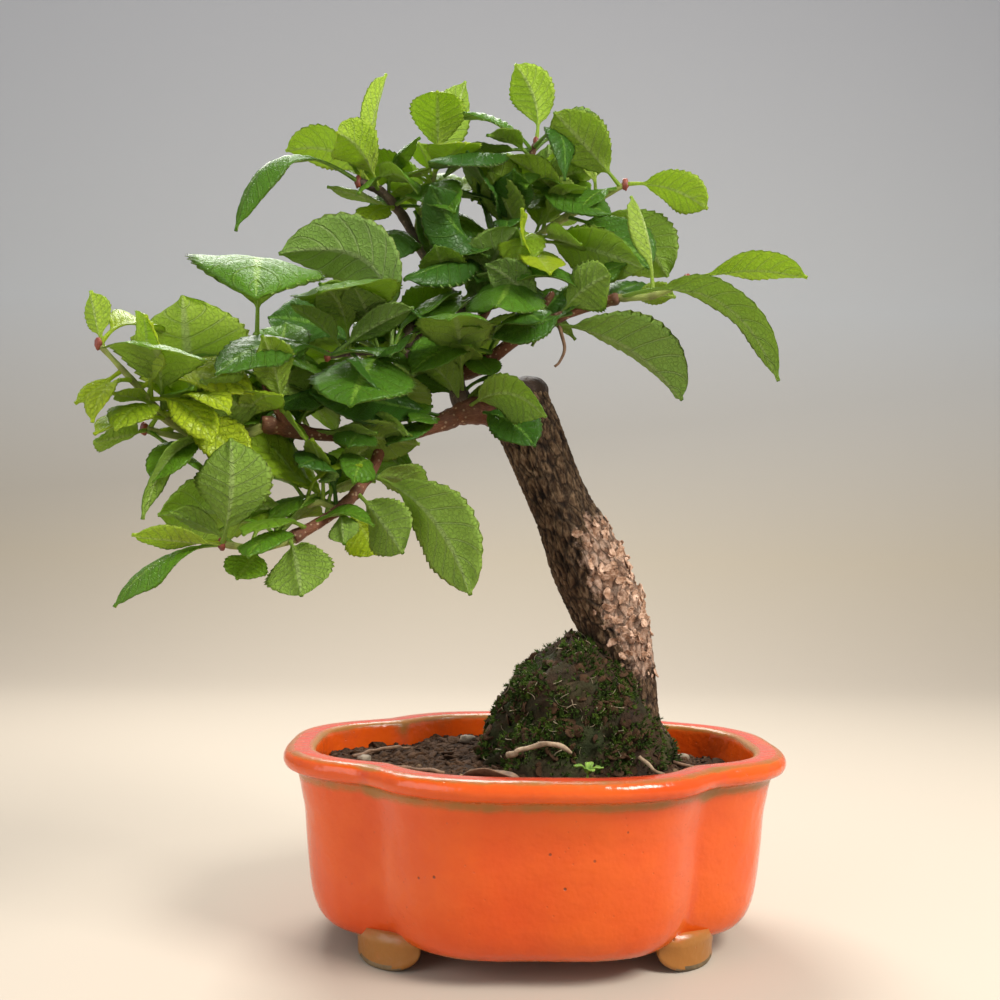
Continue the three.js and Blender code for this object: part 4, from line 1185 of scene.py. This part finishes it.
RED_TWIG = stem_finish("red_brown_twig", (0.3, (0.070, 0.020, 0.009)), (0.5, (0.175, 0.060, 0.026)),
                       (0.7, (0.32, 0.145, 0.070)), dots=0.75)
OLD_WOOD = stem_finish("old_wood", (0.3, (0.045, 0.028, 0.018)), (0.5, (0.13, 0.088, 0.058)),
                       (0.7, (0.27, 0.205, 0.145)), dots=0.35, bumps=0.0008)
GREEN_SHOOT = stem_finish("green_shoot", (0.3, (0.15, 0.20, 0.035)), (0.5, (0.30, 0.36, 0.075)),
                          (0.72, (0.48, 0.50, 0.16)), bumps=0.0002)
STEM_LOOKS = {"main_branch": (RED_TWIG, "brown_twig"), "upright_branchlet": (RED_TWIG, "brown_twig"),
              "lower_branch": (RED_TWIG, "brown_twig"), "side_shoot": (GREEN_SHOOT, "green_shoot"),
              "right_branch": (RED_TWIG, "brown_twig"), "pruned_stub": (RED_TWIG, "brown_twig"),
              "centre_stem": (OLD_WOOD, "old_wood"), "crown_stem": (RED_TWIG, "brown_twig"),
              "old_stub": (OLD_WOOD, "old_wood"), "left_twig": (OLD_WOOD, "old_wood")}


# %% Stems
def joint_places(name):
    """Where leaves and other stems grow from this one."""
    places = [chain_share(name, row[2]) for row in LEAVES if row[1] == name]
    return places + [Vector(stem["points"][0][:3]) for stem in STEMS.values()
                     if stem.get("parent") == name]


def stem_shell(name):
    shell = Shell()
    path = smooth_path([tuple(p) for p in STEMS[name]["points"]], 14)
    places = joint_places(name)
    around, rings, swells = 16, [], []
    seed = sum(map(ord, name)) % 17
    frames = tube_frames(path)
    total = frames[-1][4]
    for middle, across, out, radius, length in frames:
        near = min([(middle - place).length for place in places] or [99])
        swell = math.exp(-(near / 1.9) ** 2)
        bump = 1 + 0.26 * swell + 0.07 * noise.noise(Vector((length * 0.35, seed, 0)))
        close = max(0, min(1, (total - length) / 1.2))
        bump *= 0.35 + 0.65 * math.sqrt(close) if name not in ("main_branch", "lower_branch") else 1
        ring = []
        for i in range(around):
            angle = 2 * math.pi * i / around
            c, s = math.cos(angle), math.sin(angle)
            rough = 0.06 * noise.noise(Vector((c * 2, s * 2, length * 0.5 + seed)))
            r = radius * (bump + rough)
            ring.append(middle + across * (r * c) + out * (r * s))
            shell.chart.append((i / around, length / 12))
            swells.append(swell)
        rings.append(ring)
    shell.loft(rings)
    shell.put("node", swells)
    return shell


for name in STEMS:
    if name == "trunk":
        continue
    finish, slot = STEM_LOOKS.get(name, (GREEN_SHOOT, "green_shoot"))
    shell = stem_shell(name)
    piece = make_piece(name + "_wood", shell.points, shell.faces, [finish], shell.marks,
                       chart=shell.chart)
    place_piece(piece, slot, *([name] if name in frame["nodes"] else []))
print("stems:", len(STEMS) - 1)

# %% [markdown]
# ## Leaf finish
# A leaf has two looks. Its upper side is a dark glossy green that is younger and yellower on
# the new shoots, with a pale midrib, side veins and a fine net between them. Its underside is
# paler and duller. Light also comes through the blade, more through a young one, so a
# translucent shader is mixed in.

# %% Leaf finish
SIDE_VEINS = 8
VEIN_SLOPE = 1.7


def leaf_finish():
    finish = Finish("leaf", Specular_IOR_Level=0.32)
    chart = finish.node("ShaderNodeUVMap", {"uv_map": "chart"})
    split = finish.node("ShaderNodeSeparateXYZ", None, {0: chart})
    along, across = split, Wire(finish, split.socket.node.outputs[1])
    youth, under, tone = finish.mark("youth"), finish.mark("under"), finish.mark("tone")
    aside = (across * 2 - 1).size()
    vein_count = along * SIDE_VEINS - aside * VEIN_SLOPE
    side_vein = 1 - finish.step(vein_count.wave(), 0.03, 0.085)
    side_vein = side_vein * finish.step(0.98 - aside, 0.0, 0.25)
    midrib = 1 - finish.step(aside, 0.035, 0.10)
    net = 1 - finish.step(finish.cells(760, "DISTANCE_TO_EDGE"), 0.02, 0.13)
    blotch = finish.grain(150, 4, 0.6)

    def aged(old, middle, young):
        shade = finish.blend(finish.step(youth, 0.0, 0.55), old, middle)
        return finish.blend(finish.step(youth, 0.5, 1.0), shade, young)

    top = aged((0.030, 0.110, 0.010), (0.120, 0.290, 0.018), (0.62, 0.76, 0.030))
    below = aged((0.20, 0.35, 0.065), (0.30, 0.47, 0.06), (0.52, 0.68, 0.070))
    body = finish.blend(under, top, below)
    lit = aged((0.12, 0.27, 0.03), (0.30, 0.50, 0.05), (0.64, 0.80, 0.11))
    vein_tone = finish.blend(under, lit, aged((0.36, 0.47, 0.17), (0.42, 0.56, 0.16), (0.62, 0.72, 0.26)))
    body = finish.blend((side_vein * 0.55 + net * 0.16) * (0.55 + under * 0.45), body, vein_tone)
    body = finish.blend(midrib * 0.85, body, vein_tone)
    body = finish.blend((blotch - 0.35) * 0.5 + tone * 0.35, body,
                        finish.blend(0.5, body, (0.012, 0.030, 0.004)))
    speck = (1 - finish.step(finish.cells(330), 0.06, 0.14)) * finish.step(finish.grain(120, 2), 0.5, 0.6)
    body = finish.blend(speck * under * 0.55, body, (0.05, 0.05, 0.012))
    rim = finish.step(aside, 0.93, 1.0)
    body = finish.blend(rim * 0.35, body, (0.30, 0.30, 0.07))
    rough = 0.33 + under * 0.26 + blotch * 0.14 - youth * 0.04
    relief = finish.relief(side_vein * (under * 2 - 1) * 1.2 + net * (under * 2 - 1) * 0.5
                           + blotch * 0.9, 0.0005)
    finish.wear(body, rough, relief)
    through = finish.node("ShaderNodeBsdfTranslucent", None, {"Color": (0.50, 0.70, 0.06)})
    mixed = finish.node("ShaderNodeMixShader", None,
                        {0: 0.20 + youth * 0.26 - midrib * 0.08, 1: finish.shader.outputs[0], 2: through})
    finish.tree.links.new(mixed.socket, finish.output.inputs["Surface"])
    return finish.material


LEAF = leaf_finish()

# %% [markdown]
# ## Leaf blades
# A leaf is one thin closed sheet: a row of points across at each station along the midrib.
# The blade puckers between its side veins, its edge is finely toothed and waves a little, and
# the midrib stands out below. Before the blade starts, the same rows roll up into a round
# stalk.

# %% One leaf's mesh
STATIONS = 64
COLUMNS = 12
BLADE_THICKNESS = 0.36


def leaf_rings(row, seed):
    """Rings of points and their chart places; each ring runs along the upper side first."""
    name, stem, share, length, heading, climb, arch, width, face, rise, youth = row
    start, control, end = midrib_of(stem, share, length, heading, climb, arch)
    up = Vector(face).normalized()
    shift = Vector((seed * 3.7, seed * 1.3, 0))
    teeth = 9 + width / 4
    rings, chart = [], []
    for k in range(STATIONS + 1):
        s = k / STATIONS
        p = start * (1 - s) ** 2 + control * 2 * s * (1 - s) + end * s * s
        along = ((control - start) * (1 - s) + (end - control) * s).normalized()
        side = along.cross(up).normalized()
        normal = side.cross(along)
        wide = half_width(s, width)
        blade = max(s - PETIOLE_SHARE, 0) / (1 - PETIOLE_SHARE)
        flat = max(0, min(1, (wide - 0.5) / 2.2))
        top, under, top_chart, under_chart = [], [], [], []
        for j in range(COLUMNS + 1):
            v = 2 * j / COLUMNS - 1
            tooth = 1 + 0.10 * ((blade * teeth + 0.15 * noise.noise(shift + Vector((s * 9, v, 0)))) % 1
                                - 0.5) * (abs(v) > 0.95) * flat
            lift = rise * wide * abs(v) ** 1.3
            wave = 0.11 * width * noise.noise(shift + Vector((s * 3.4, v * 0.9, 4))) * abs(v) ** 1.4
            quilt = 0.55 * abs(math.sin(math.pi * (blade * SIDE_VEINS - abs(v) * VEIN_SLOPE)))
            quilt *= min(1, abs(v) * 4) * (1 - abs(v) ** 3) * min(1, width / 16)
            groove = -0.22 * math.exp(-(v * wide / 0.8) ** 2)
            bed = p + side * (v * wide * tooth) + normal * (lift + flat * (wave + quilt + groove))
            angle = math.pi * (1 - (v + 1) / 2)
            stalk = PETIOLE_RADIUS * (1.25 - 0.35 * min(1, s / PETIOLE_SHARE))
            taper = 1 if s < 0.9 else 0.35 + 6.5 * (1 - s)
            ridge = 0.42 * math.exp(-(v * wide / 0.55) ** 2) * min(1, taper)
            round_top = p + side * (stalk * math.cos(angle)) + normal * (stalk * math.sin(angle))
            round_low = p + side * (stalk * math.cos(angle)) - normal * (stalk * math.sin(angle))
            thin = BLADE_THICKNESS * (1 - 0.75 * abs(v) ** 4) / 2
            top.append(round_top.lerp(bed + normal * thin, flat))
            under.append(round_low.lerp(bed - normal * (thin + ridge), flat))
            top_chart.append((blade, (v + 1) / 2))
        rings.append(top + under[-2:0:-1])
        chart += top_chart + top_chart[-2:0:-1]
    return rings, chart


def add_leaf(shell, row, seed):
    rings, chart = leaf_rings(row, seed)
    first_face = len(shell.faces)
    rings.reverse()
    n = len(rings[0])
    chart = [place for k in range(STATIONS, -1, -1) for place in chart[k * n:(k + 1) * n]]
    added = shell.loft(rings)
    shell.chart += chart
    tone = 0.5 + 0.5 * noise.noise(Vector((seed * 0.73, 2.1, 0)))
    shell.put("youth", [row[-1]] * len(added))
    shell.put("tone", [tone] * len(added))
    for index in range(first_face, len(shell.faces)):
        column = (index - first_face) % n
        shell.under.append(1.0 if column >= COLUMNS and index < len(shell.faces) - 2 else 0.0)


def leaf_piece(name, rows, first_seed=None):
    shell = Shell()
    shell.under = []
    for count, row in enumerate(rows):
        add_leaf(shell, row, LEAVES.index(row) + 1 if first_seed is None else first_seed + count)
    return make_piece(name, shell.points, shell.faces, [LEAF], shell.marks, {"under": shell.under},
                      shell.chart)


# %% Leaves in their places
for row in LEAVES:
    if row[0]:
        place_piece(leaf_piece(row[0] + "_blade", [row]), "leaf", row[0])
for stem in STEMS:
    small = [row for row in LEAVES if row[1] == stem and row[0] is None]
    if small:
        place_piece(leaf_piece(stem + "_leaves", small), "leaf")
print("leaf pieces made")

# %% [markdown]
# Between the larger leaves hang many smaller ones. They grow by the same rule with drawn
# terms, and a leaf is kept only when its tip stays close to the middle of a larger leaf, so
# the crown keeps its outline.

# %% Smaller leaves between
FILLERS = {"crown_stem": (16, 0.15), "centre_stem": (20, 0.3), "upper_right": (13, 0.5),
           "left_twig": (18, 0.3), "main_branch": (12, 0.25), "top_left": (8, 0.7),
           "left_shoot": (9, 0.6), "young_shoot": (9, 0.95), "right_branch": (10, 0.25),
           "lower_shoot": (5, 0.55), "lower_branch": (6, 0.4), "side_shoot": (4, 0.6),
           "upright_branchlet": (14, 0.55)}
STRAY = 15


def drawn_leaf(stem, age, draw):
    """Growth terms for one small leaf, or None where it would leave the crown."""
    length, climb = draw.uniform(17, 34), draw.uniform(-35, 55)
    heading, share = draw.uniform(-180, 180), draw.uniform(0.15, 1)
    arch = draw.uniform(0, 6)
    start, control, end = midrib_of(stem, share, length, heading, climb, arch)
    reach = (end - start).normalized()
    lean = Vector((draw.uniform(-0.5, 0.5), draw.uniform(-0.9, 0.6), 0.8))
    face = (lean - reach * lean.dot(reach)).normalized()
    youth = max(0, min(1, age + draw.uniform(-0.2, 0.25)))
    row = (None, stem, share, length, heading, climb, arch, length * draw.uniform(0.42, 0.6),
           tuple(face), draw.uniform(-0.3, 0.3), youth)
    near = min((end - heart).length for heart in HEARTS)
    return row if near < STRAY and -66 < end.y < 52 and end.x > -112 else None


HEARTS = []
for row in LEAVES:
    start, control, end = midrib_of(*row[1:7])
    HEARTS.append((start + 2 * control + end) / 4)
draw = random.Random(7)
small_count = 0
for stem, (wanted, age) in FILLERS.items():
    rows = [drawn_leaf(stem, age, draw) for _ in range(wanted * 3)]
    rows = [row for row in rows if row][:wanted]
    if rows:
        place_piece(leaf_piece(stem + "_small_leaves", rows, 200 + small_count), "leaf")
    small_count += len(rows)
print("small leaves:", small_count)

# %% [markdown]
# ## Buds and odds and ends
# Small things make the tree look alive: reddish buds at the shoot ends, a dried curled stalk,
# a dead leaf, a few small stones and twigs on the soil, and a seedling by the front wall.

# %% Small finishes
def plain_finish(name, low, high, rough, scale=400):
    finish = Finish(name, Specular_IOR_Level=0.4)
    tone = finish.grain(scale, 4, 0.6)
    body = finish.ramp(tone, (0.32, low), (0.68, high))
    return finish.wear(body, rough + tone * 0.15, finish.relief(tone, 0.0003))


BUD = plain_finish("red_bud", (0.12, 0.022, 0.018), (0.36, 0.09, 0.05), 0.4)
DRY = plain_finish("dry_leaf", (0.10, 0.050, 0.028), (0.27, 0.155, 0.085), 0.6)
ROOT = plain_finish("pale_root", (0.20, 0.125, 0.07), (0.50, 0.37, 0.24), 0.6)
STONE = plain_finish("small_stone", (0.10, 0.075, 0.05), (0.30, 0.24, 0.17), 0.6)


def tube_piece(name, knots, finish, slot, wiggle=0.0):
    """A thin round stalk through the knots, which strays by the wiggle."""
    shell = Shell()
    path = []
    for x, y, z, radius in smooth_path(knots, 12):
        at = Vector((x, y, z)) * 0.23
        aside, ahead, up = [wiggle * noise.noise(at + Vector((k * 31, 0, 0))) for k in range(3)]
        path.append((x + aside, y + ahead, z + up * 0.4, radius * (1 + 0.25 * aside)))
    around = 10
    rings = []
    for middle, across, out, radius, length in tube_frames(path):
        rings.append([middle + across * (radius * math.cos(2 * math.pi * i / around))
                      + out * (radius * math.sin(2 * math.pi * i / around)) for i in range(around)])
    shell.loft(rings)
    return place_piece(make_piece(name, shell.points, shell.faces, [finish]), slot)


def blob_piece(name, middle, size, finish, slot, seed=0):
    """A lumpy ball, its three sizes given in millimetres."""
    shell = Shell()
    rings = []
    for k in range(1, 14):
        polar = math.pi * k / 14
        ring = []
        for i in range(20):
            turn = 2 * math.pi * i / 20
            spot = Vector((math.sin(polar) * math.cos(turn), math.sin(polar) * math.sin(turn),
                           -math.cos(polar)))
            r = 0.5 * (1 + 0.22 * noise.noise(spot * 1.9 + Vector((seed, 0, 0))))
            ring.append([middle[axis] + spot[axis] * r * size[axis] for axis in range(3)])
        rings.append(ring)
    shell.loft(rings)
    return place_piece(make_piece(name, shell.points, shell.faces, [finish]), slot)


# %% Buds, roots, stones and the fallen leaf
for number, (stem, share, size) in enumerate((
        ("top_left", 1, 2.6), ("crown_stem", 1, 2.0), ("upper_right", 1, 2.4), ("centre_stem", 1, 2.4),
        ("left_shoot", 1, 2.2), ("right_tip", 1, 2.6), ("upright_branchlet", 1, 2.8),
        ("lower_shoot", 1, 2.2), ("young_shoot", 1, 2.0), ("left_twig", 1, 2.0))):
    spot = chain_share(stem, share)
    blob_piece(f"bud_{number + 1}", spot, (size, size, size * 1.7), BUD, "brown_twig", number)
tube_piece("curled_stalk", [(5, -9.7, 185.5, 0.9), (6, -11, 181, 0.6), (7, -12, 176, 0.5),
                            (5.5, -12.5, 172, 0.4), (4, -12.5, 170.5, 0.4)], DRY, "old_wood")
for number, (knots, finish) in enumerate((
        ([(-14, -24, 52, 1.1), (-6, -29, 51, 1), (3, -33, 50.5, 0.9), (12, -35, 49.5, 0.7)], ROOT),
        ([(30, -20, 56, 1.0), (36, -25, 52, 0.9), (43, -27, 49, 0.7)], ROOT),
        ([(-9, -21, 56, 1.3), (-3, -25, 59.5, 1.2), (4, -27, 60.5, 1.0), (9, -27, 58, 0.7)], ROOT),
        ([(-44, -14, 51, 0.8), (-36, -18, 51.5, 0.8), (-27, -20, 50.8, 0.7)], DRY),
        ([(44, 4, 49.5, 0.9), (52, -2, 48.5, 0.8), (58, -6, 47.5, 0.6)], DRY),
        ([(-56, 8, 50, 0.8), (-47, 14, 51, 0.8), (-38, 22, 50.5, 0.7)], DRY),
        ([(10, 34, 51, 1.0), (20, 37, 50.5, 0.9), (31, 34, 49.8, 0.7)], ROOT))):
    thin = [(x, y, z, radius * 0.7) for x, y, z, radius in knots]
    tube_piece(f"loose_root_{number + 1}", thin, finish, "soil", 2.2)
for number, (middle, size) in enumerate((
        ((-40, -24, 50.5), (5, 4, 3)), ((-52, 2, 50.4), (4.4, 4, 2.6)), ((52, -14, 48.4), (5, 4.4, 3)),
        ((20, -36, 49.8), (4.2, 3.6, 2.4)), ((-20, 34, 51.0), (5.4, 4.4, 3)),
        ((50, 18, 48.6), (4, 3.4, 2.6)))):
    blob_piece(f"stone_{number + 1}", middle, size, STONE, "soil", number + 20)


# %% A dry leaf on the soil and a seedling
def small_blade(name, start, control, end, width, up, finish, slot):
    shell = Shell()
    rings = []
    for k in range(21):
        s = k / 20
        p = Vector(start) * (1 - s) ** 2 + Vector(control) * 2 * s * (1 - s) + Vector(end) * s * s
        along = ((Vector(control) - Vector(start)) * (1 - s) + (Vector(end) - Vector(control)) * s)
        side = along.normalized().cross(Vector(up)).normalized()
        normal = side.cross(along.normalized())
        wide = max(0.35, width / 2 * math.sin(math.pi * s ** 1.1) ** 0.8)
        row = []
        for v in (-1, -0.5, 0, 0.5, 1):
            lift = 0.35 * wide * v * v + 0.4 * noise.noise(Vector((s * 5, v * 2, width)))
            row.append(p + side * (v * wide) + normal * lift)
        rings.append([q + normal * 0.2 for q in row] + [q - normal * 0.2 for q in row[::-1]])
    rings.reverse()
    shell.loft(rings)
    return place_piece(make_piece(name, shell.points, shell.faces, [finish]), slot)


SPROUT = plain_finish("sprout_green", (0.12, 0.24, 0.03), (0.26, 0.42, 0.06), 0.4)
small_blade("fallen_leaf", (-22, -30, 51.5), (-14, -34, 54), (-4, -38, 51), 12, (0.1, 0.2, 1), DRY, "soil")
tube_piece("seedling_stem", [(13, -33, 49, 0.4), (12.7, -33.5, 51.5, 0.35), (13, -34, 54, 0.3)],
           SPROUT, "green_shoot")
for number, (dx, dy, dz) in enumerate(((4, -1, 1.5), (-4, -1, 2), (1, 3, 2.2), (1, -3, 1))):
    small_blade(f"seedling_leaf_{number + 1}", (13, -34, 53.7), (13 + dx * 0.5, -34 + dy * 0.5, 54.6 + dz),
                (13 + dx, -34 + dy, 54 + dz), 2.4, (0, 0, 1), SPROUT, "leaf")

# %% [markdown]
# ## Camera
# The camera looks at the front of the pot a little from above its rim, turned slightly to the
# right and rolled by less than a degree. It is set by a place and three small angles.

# %% Camera
YAW, PITCH, ROLL = math.radians(1.9), math.radians(2.26), math.radians(0.84)
forward = Vector((math.sin(YAW) * math.cos(PITCH), math.cos(YAW) * math.cos(PITCH), math.sin(PITCH)))
level_right = Vector((math.cos(YAW), -math.sin(YAW), 0))
level_up = level_right.cross(forward)
right = level_right * math.cos(ROLL) + level_up * math.sin(ROLL)
above = level_up * math.cos(ROLL) - level_right * math.sin(ROLL)
camera_data = bpy.data.cameras.new("camera")
camera_data.lens, camera_data.sensor_width = 39.3, 36
camera_data.clip_start, camera_data.clip_end = 0.01, 20
camera = bpy.data.objects.new("camera", camera_data)
camera.matrix_world = Matrix.LocRotScale(
    Vector((-22.6, -337.8, 117.3)) * MM, Matrix((right, above, -forward)).transposed(), None)
bpy.context.scene.collection.objects.link(camera)
bpy.context.scene.camera = camera
print("camera:", [round(value, 3) for value in camera.location])

# %% [markdown]
# ## Studio
# A big soft key stands to the upper right, a dimmer fill to the left, and a light behind and
# above shines through the leaves. The floor and the backdrop are one pale curved sheet.

# %% Lights
def area_light(name, place, target, size, power, colour):
    data = bpy.data.lights.new(name, "AREA")
    data.size, data.energy, data.color = size, power, colour
    light = bpy.data.objects.new(name, data)
    light.location = place
    light.rotation_euler = (Vector(target) - Vector(place)).to_track_quat("-Z", "Y").to_euler()
    bpy.context.scene.collection.objects.link(light)


HEART = (0, 0, 0.14)
area_light("key", (0.50, -0.40, 0.68), HEART, 0.35, 9.5, (1.0, 0.97, 0.92))
area_light("fill", (-0.7, -0.5, 0.30), HEART, 0.7, 3.0, (0.97, 0.98, 1.0))
area_light("through", (-0.10, 0.40, 0.66), HEART, 0.4, 6, (1.0, 0.98, 0.94))
world = bpy.data.worlds.new("studio")
world.use_nodes = True
world.node_tree.nodes["Background"].inputs[0].default_value = (0.86, 0.87, 0.88, 1)
world.node_tree.nodes["Background"].inputs[1].default_value = 0.5
bpy.context.scene.world = world
bpy.context.scene.view_settings.view_transform = "Standard"


# %% Floor and backdrop
def studio_sheet():
    """A floor that sweeps up into a backdrop."""
    profile = [(-1.6, 0), (0.55, 0)]
    profile += [(0.55 + 0.5 * math.sin(a), 0.5 - 0.5 * math.cos(a))
                for a in [math.pi / 2 * k / 16 for k in range(1, 17)]]
    profile.append((1.05, 2.2))
    points, faces = [], []
    for y, z in profile:
        points += [(-2.6, y, z), (2.6, y, z)]
    for k in range(len(profile) - 1):
        faces.append((2 * k, 2 * k + 1, 2 * k + 3, 2 * k + 2))
    mesh = bpy.data.meshes.new("studio_sheet")
    mesh.from_pydata(points, [], faces)
    mesh.shade_smooth()
    sheet = bpy.data.objects.new("studio_sheet", mesh)
    bpy.context.scene.collection.objects.link(sheet)
    return sheet


backdrop_finish = Finish("studio_paper", Roughness=0.75, Specular_IOR_Level=0.2)
height = backdrop_finish.node("ShaderNodeSeparateXYZ", None, {0: backdrop_finish.place}, 2)
paper = backdrop_finish.ramp(height / 1.0, (0.0, (0.52, 0.455, 0.375)), (0.10, (0.56, 0.49, 0.385)),
                             (0.42, (0.60, 0.62, 0.64)), (0.95, (0.56, 0.57, 0.61)))
backdrop_finish.wear(paper)
sheet = studio_sheet()
sheet.data.materials.append(backdrop_finish.material)
sheet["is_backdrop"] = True

# %% Sizes and the end
for shape in GRAINS:
    bpy.data.objects.remove(shape)
low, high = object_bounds()
print("scene:", [round((b - a) / MM) for a, b in zip(low, high)], "mm")
